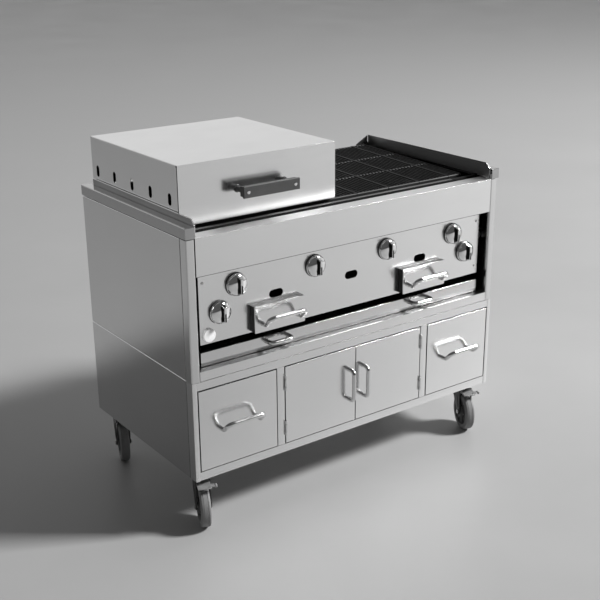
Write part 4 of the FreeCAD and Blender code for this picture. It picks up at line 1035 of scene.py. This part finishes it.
def caster_wheels():
    """Wheels: rubber tyre with two tread grooves on a ribbed hub."""
    axle, spokes = (TRAIL, AXLE_HEIGHT), 6
    tread = mirrored([(46, -15), (50, -15), (55, -14.9), (59, -14.2), (61.2, -12.6),
                      (62.1, -10.4), (62.4, -7.6), (61.6, -7.2), (61.6, -6.2), (62.5, -5.8)])
    hub = mirrored([(5.05, -17), (12, -17), (13, -16), (21, -15.5), (23, -14), (24, -10),
                    (43, -9), (44.5, -12), (46.3, -14.2)])
    centre = Matrix.Translation((TRAIL, 0, AXLE_HEIGHT))
    for corner in CASTERS:
        parts = [lathe(tread, "y", axle, 72, closed=True),
                 (lathe(hub, "y", axle, 48, closed=True), 1)]
        for n in range(spokes):
            turn = centre @ Matrix.Rotation(TAU * n / spokes, 4, "Y")
            parts += [(moved(block((22, near, -2), (44, far, 2), 1.0), turn), 1)
                      for near, far in ((-13, -8.5), (8.5, 13))]
        piece(f"caster_wheel_{corner}_tyred", placed(parts, corner), [TYRE, HUB],
              f"wheel_{corner}", "tyre_grey", f"caster_wheel_{corner}")


def brake_pedals():
    """Bent foot pedals with a side tab that ends in a rolled lip."""
    half = 19.5
    strip = folded([(34, 145.4), (50, 145.2), (64, 143.4), (78, 139.4)], 2.6, 14.0, 4)
    wing = rounded([(34, 137.5), (60, 137.5), (76, 138.2), (76, 140.5), (60, 143.5),
                    (36, 144.8)], 1.0, 2, closed=True)
    tab = rounded([(54, 12), (74, 12), (72, 36), (66, 38), (60, 36)], [2, 2, 6, 4, 5], 4,
                  closed=True)
    parts = [prism(strip, "y", -half, half), disc(4.5, "y", PEDAL_PIVOT, -half, half, 0.5, 24),
             *both_sides(wing, half, half - 2, 0.4), plate([tab], "z", 139.4, 142.6, 0.8),
             disc(4.0, "x", (33.8, 140.6), 58.5, 73, 1.6, 20)]
    for corner in ("front_left", "front_right"):
        piece(f"brake_pedal_{corner}_pressed", placed(parts, corner), [PEDAL],
              f"pedal_{corner}", "pedal_zinc", f"brake_pedal_{corner}")


# ---------------------------------------------------------------- gas pipe and carried-over nodes

def gas_pipe():
    """The manifold pipe, its elbow to the back and the threaded inlet."""
    low, high = corners("gas_manifold")
    stub, pipe, pitch = INLET_RADIUS, 10.0, 1.8
    x, y, z = high.x - stub, FRONT + 44, PIPE_HEIGHT
    path = rounded([(low.x, y, z), (x, y, z), (x, high.y - 1, z)], 22, 8)
    thread = [(pipe - 3, BACK + 2), (stub - 1.2, BACK + 2)]
    for n in range(int((high.y - BACK - 5) / pitch)):
        start = BACK + 3 + n * pitch
        thread += [(stub - 1.0, start), (stub, start + 0.6), (stub, start + 0.9),
                   (stub - 1.0, start + 1.5)]
    thread += [(stub - 1.6, high.y), (pipe - 2, high.y), (pipe - 3, high.y - 1)]
    parts = [tube(path, pipe, 28), disc(12.0, "x", (y, z), low.x, low.x + 12, 1.0, 6),
             (lathe(thread, "y", (x, z), 40, closed=True), 1)]
    piece("gas_pipe_run", parts, [HOT_STEEL, ZINC], "root", "firebox_steel", "gas_manifold")


CARRIED = {
    "cabinet_floor": SIDE_STEEL, "cabinet_dividers": SIDE_STEEL, "drawer_rails": ZINC,
    "body_deck": SIDE_STEEL, "firebox_shell": SOOT, "burners": HOT_STEEL,
    "heat_radiants": HOT_STEEL, "gas_valves": BRASS,
}


def carried_nodes():
    """CAD nodes that stay: their own shapes, with softened edges and finished materials."""
    for name, material in CARRIED.items():
        thing = frame["nodes"][name]
        thing.data.materials.clear()
        thing.data.materials.append(material)
        weld = thing.modifiers.new("weld", "WELD")
        weld.merge_threshold = 0.00001
        soften = thing.modifiers.new("soften", "BEVEL")
        soften.width = 0.4 * MM
        soften.segments = 1
        soften.limit_method = "ANGLE"
        soften.angle_limit = math.radians(40)


# ---------------------------------------------------------------- floor, light and camera

def floor():
    """A plain pale floor with a faint polish."""
    mesh = bpy.data.meshes.new("floor")
    reach = 60.0
    mesh.from_pydata([(-reach, -reach, 0), (reach, -reach, 0), (reach, reach, 0),
                      (-reach, reach, 0)], [], [(0, 1, 2, 3)])
    thing = bpy.data.objects.new("floor", mesh)
    bpy.context.scene.collection.objects.link(thing)
    material, tree, shader, place = fresh("floor_pale")
    clouds = noise(tree, place["Object"], (1.1, 1.1, 1.1), detail=5.0)
    colour = blend(tree, spread(tree, clouds, 0.0, 1.0), grey(0.36), grey(0.40))
    tree.links.new(colour, shader.inputs["Base Color"])
    tree.links.new(spread(tree, clouds, 0.38, 0.46), shader.inputs["Roughness"])
    shader.inputs["Specular IOR Level"].default_value = 0.3
    mesh.materials.append(material)


def lights():
    """A large soft key from the right, over a surround that is bright behind and dark in front."""
    middle = Vector((0, 0, 0.55))
    toward = Vector((1.06, -0.73, 1.0)).normalized()
    lamp = bpy.data.lights.new("key", "AREA")
    lamp.size = 2.4
    lamp.energy = 3100
    key = bpy.data.objects.new("key", lamp)
    key.location = middle + toward * 14.0
    key.rotation_euler = (-toward).to_track_quat("-Z", "Y").to_euler()
    bpy.context.scene.collection.objects.link(key)

    world = bpy.data.worlds.new("surround")
    world.use_nodes = True
    tree = world.node_tree
    heading = add(tree, "TexCoord").outputs["Generated"]
    rise = add(tree, "SeparateXYZ", {0: heading}).outputs[2]
    facing = add(tree, "VectorMath", {0: heading, 1: (0.62, 0.78, 0.0)},
                 operation="DOT_PRODUCT").outputs["Value"]
    smooth = {"interpolation_type": "SMOOTHSTEP"}
    wall = spread(tree, facing, 0.0, 1.0, -0.25, 0.45, **smooth)
    near_floor = spread(tree, rise, 1.0, 0.0, 0.35, 0.85, **smooth)
    lit = add(tree, "Math", {0: wall, 1: near_floor}, operation="MULTIPLY").outputs[0]
    background = tree.nodes["Background"]
    tree.links.new(spread(tree, lit, 0.09, 0.80, 0.0, 1.0), background.inputs["Strength"])
    background.inputs["Color"].default_value = grey(1.0)
    bpy.context.scene.world = world


def camera():
    """Looks from the front left and above, with no shift."""
    place = Vector((-1.8959, -2.62045, 1.6669))
    forward = Vector((0.5527, 0.7616, -0.3384)).normalized()
    right = forward.cross(Vector((0, 0, 1))).normalized()
    up = right.cross(forward)
    roll = math.radians(-0.473)
    right, up = (right * math.cos(roll) + up * math.sin(roll),
                 up * math.cos(roll) - right * math.sin(roll))
    data = bpy.data.cameras.new("camera")
    data.lens = 63.91
    data.sensor_width = 36.0
    thing = bpy.data.objects.new("camera", data)
    turn = Matrix((right, up, -forward)).transposed().to_4x4()
    thing.matrix_world = Matrix.Translation(place) @ turn
    bpy.context.scene.collection.objects.link(thing)
    bpy.context.scene.camera = thing


def build():
    camera()
    frame_bars()
    side_panels()
    caps()
    fascia()
    rear_panels()
    cabinet_drawers()
    doors()
    box_drawers()
    drip_tray()
    control_plate()
    knobs()
    dial_and_screws()
    grates()
    grate_rests()
    guards()
    ledge_tab()
    lid()
    lid_hinges()
    lid_grip()
    caster_mounts()
    caster_forks()
    caster_wheels()
    brake_pedals()
    gas_pipe()
    carried_nodes()
    floor()
    lights()
    bpy.context.scene.view_settings.view_transform = "Standard"


build()
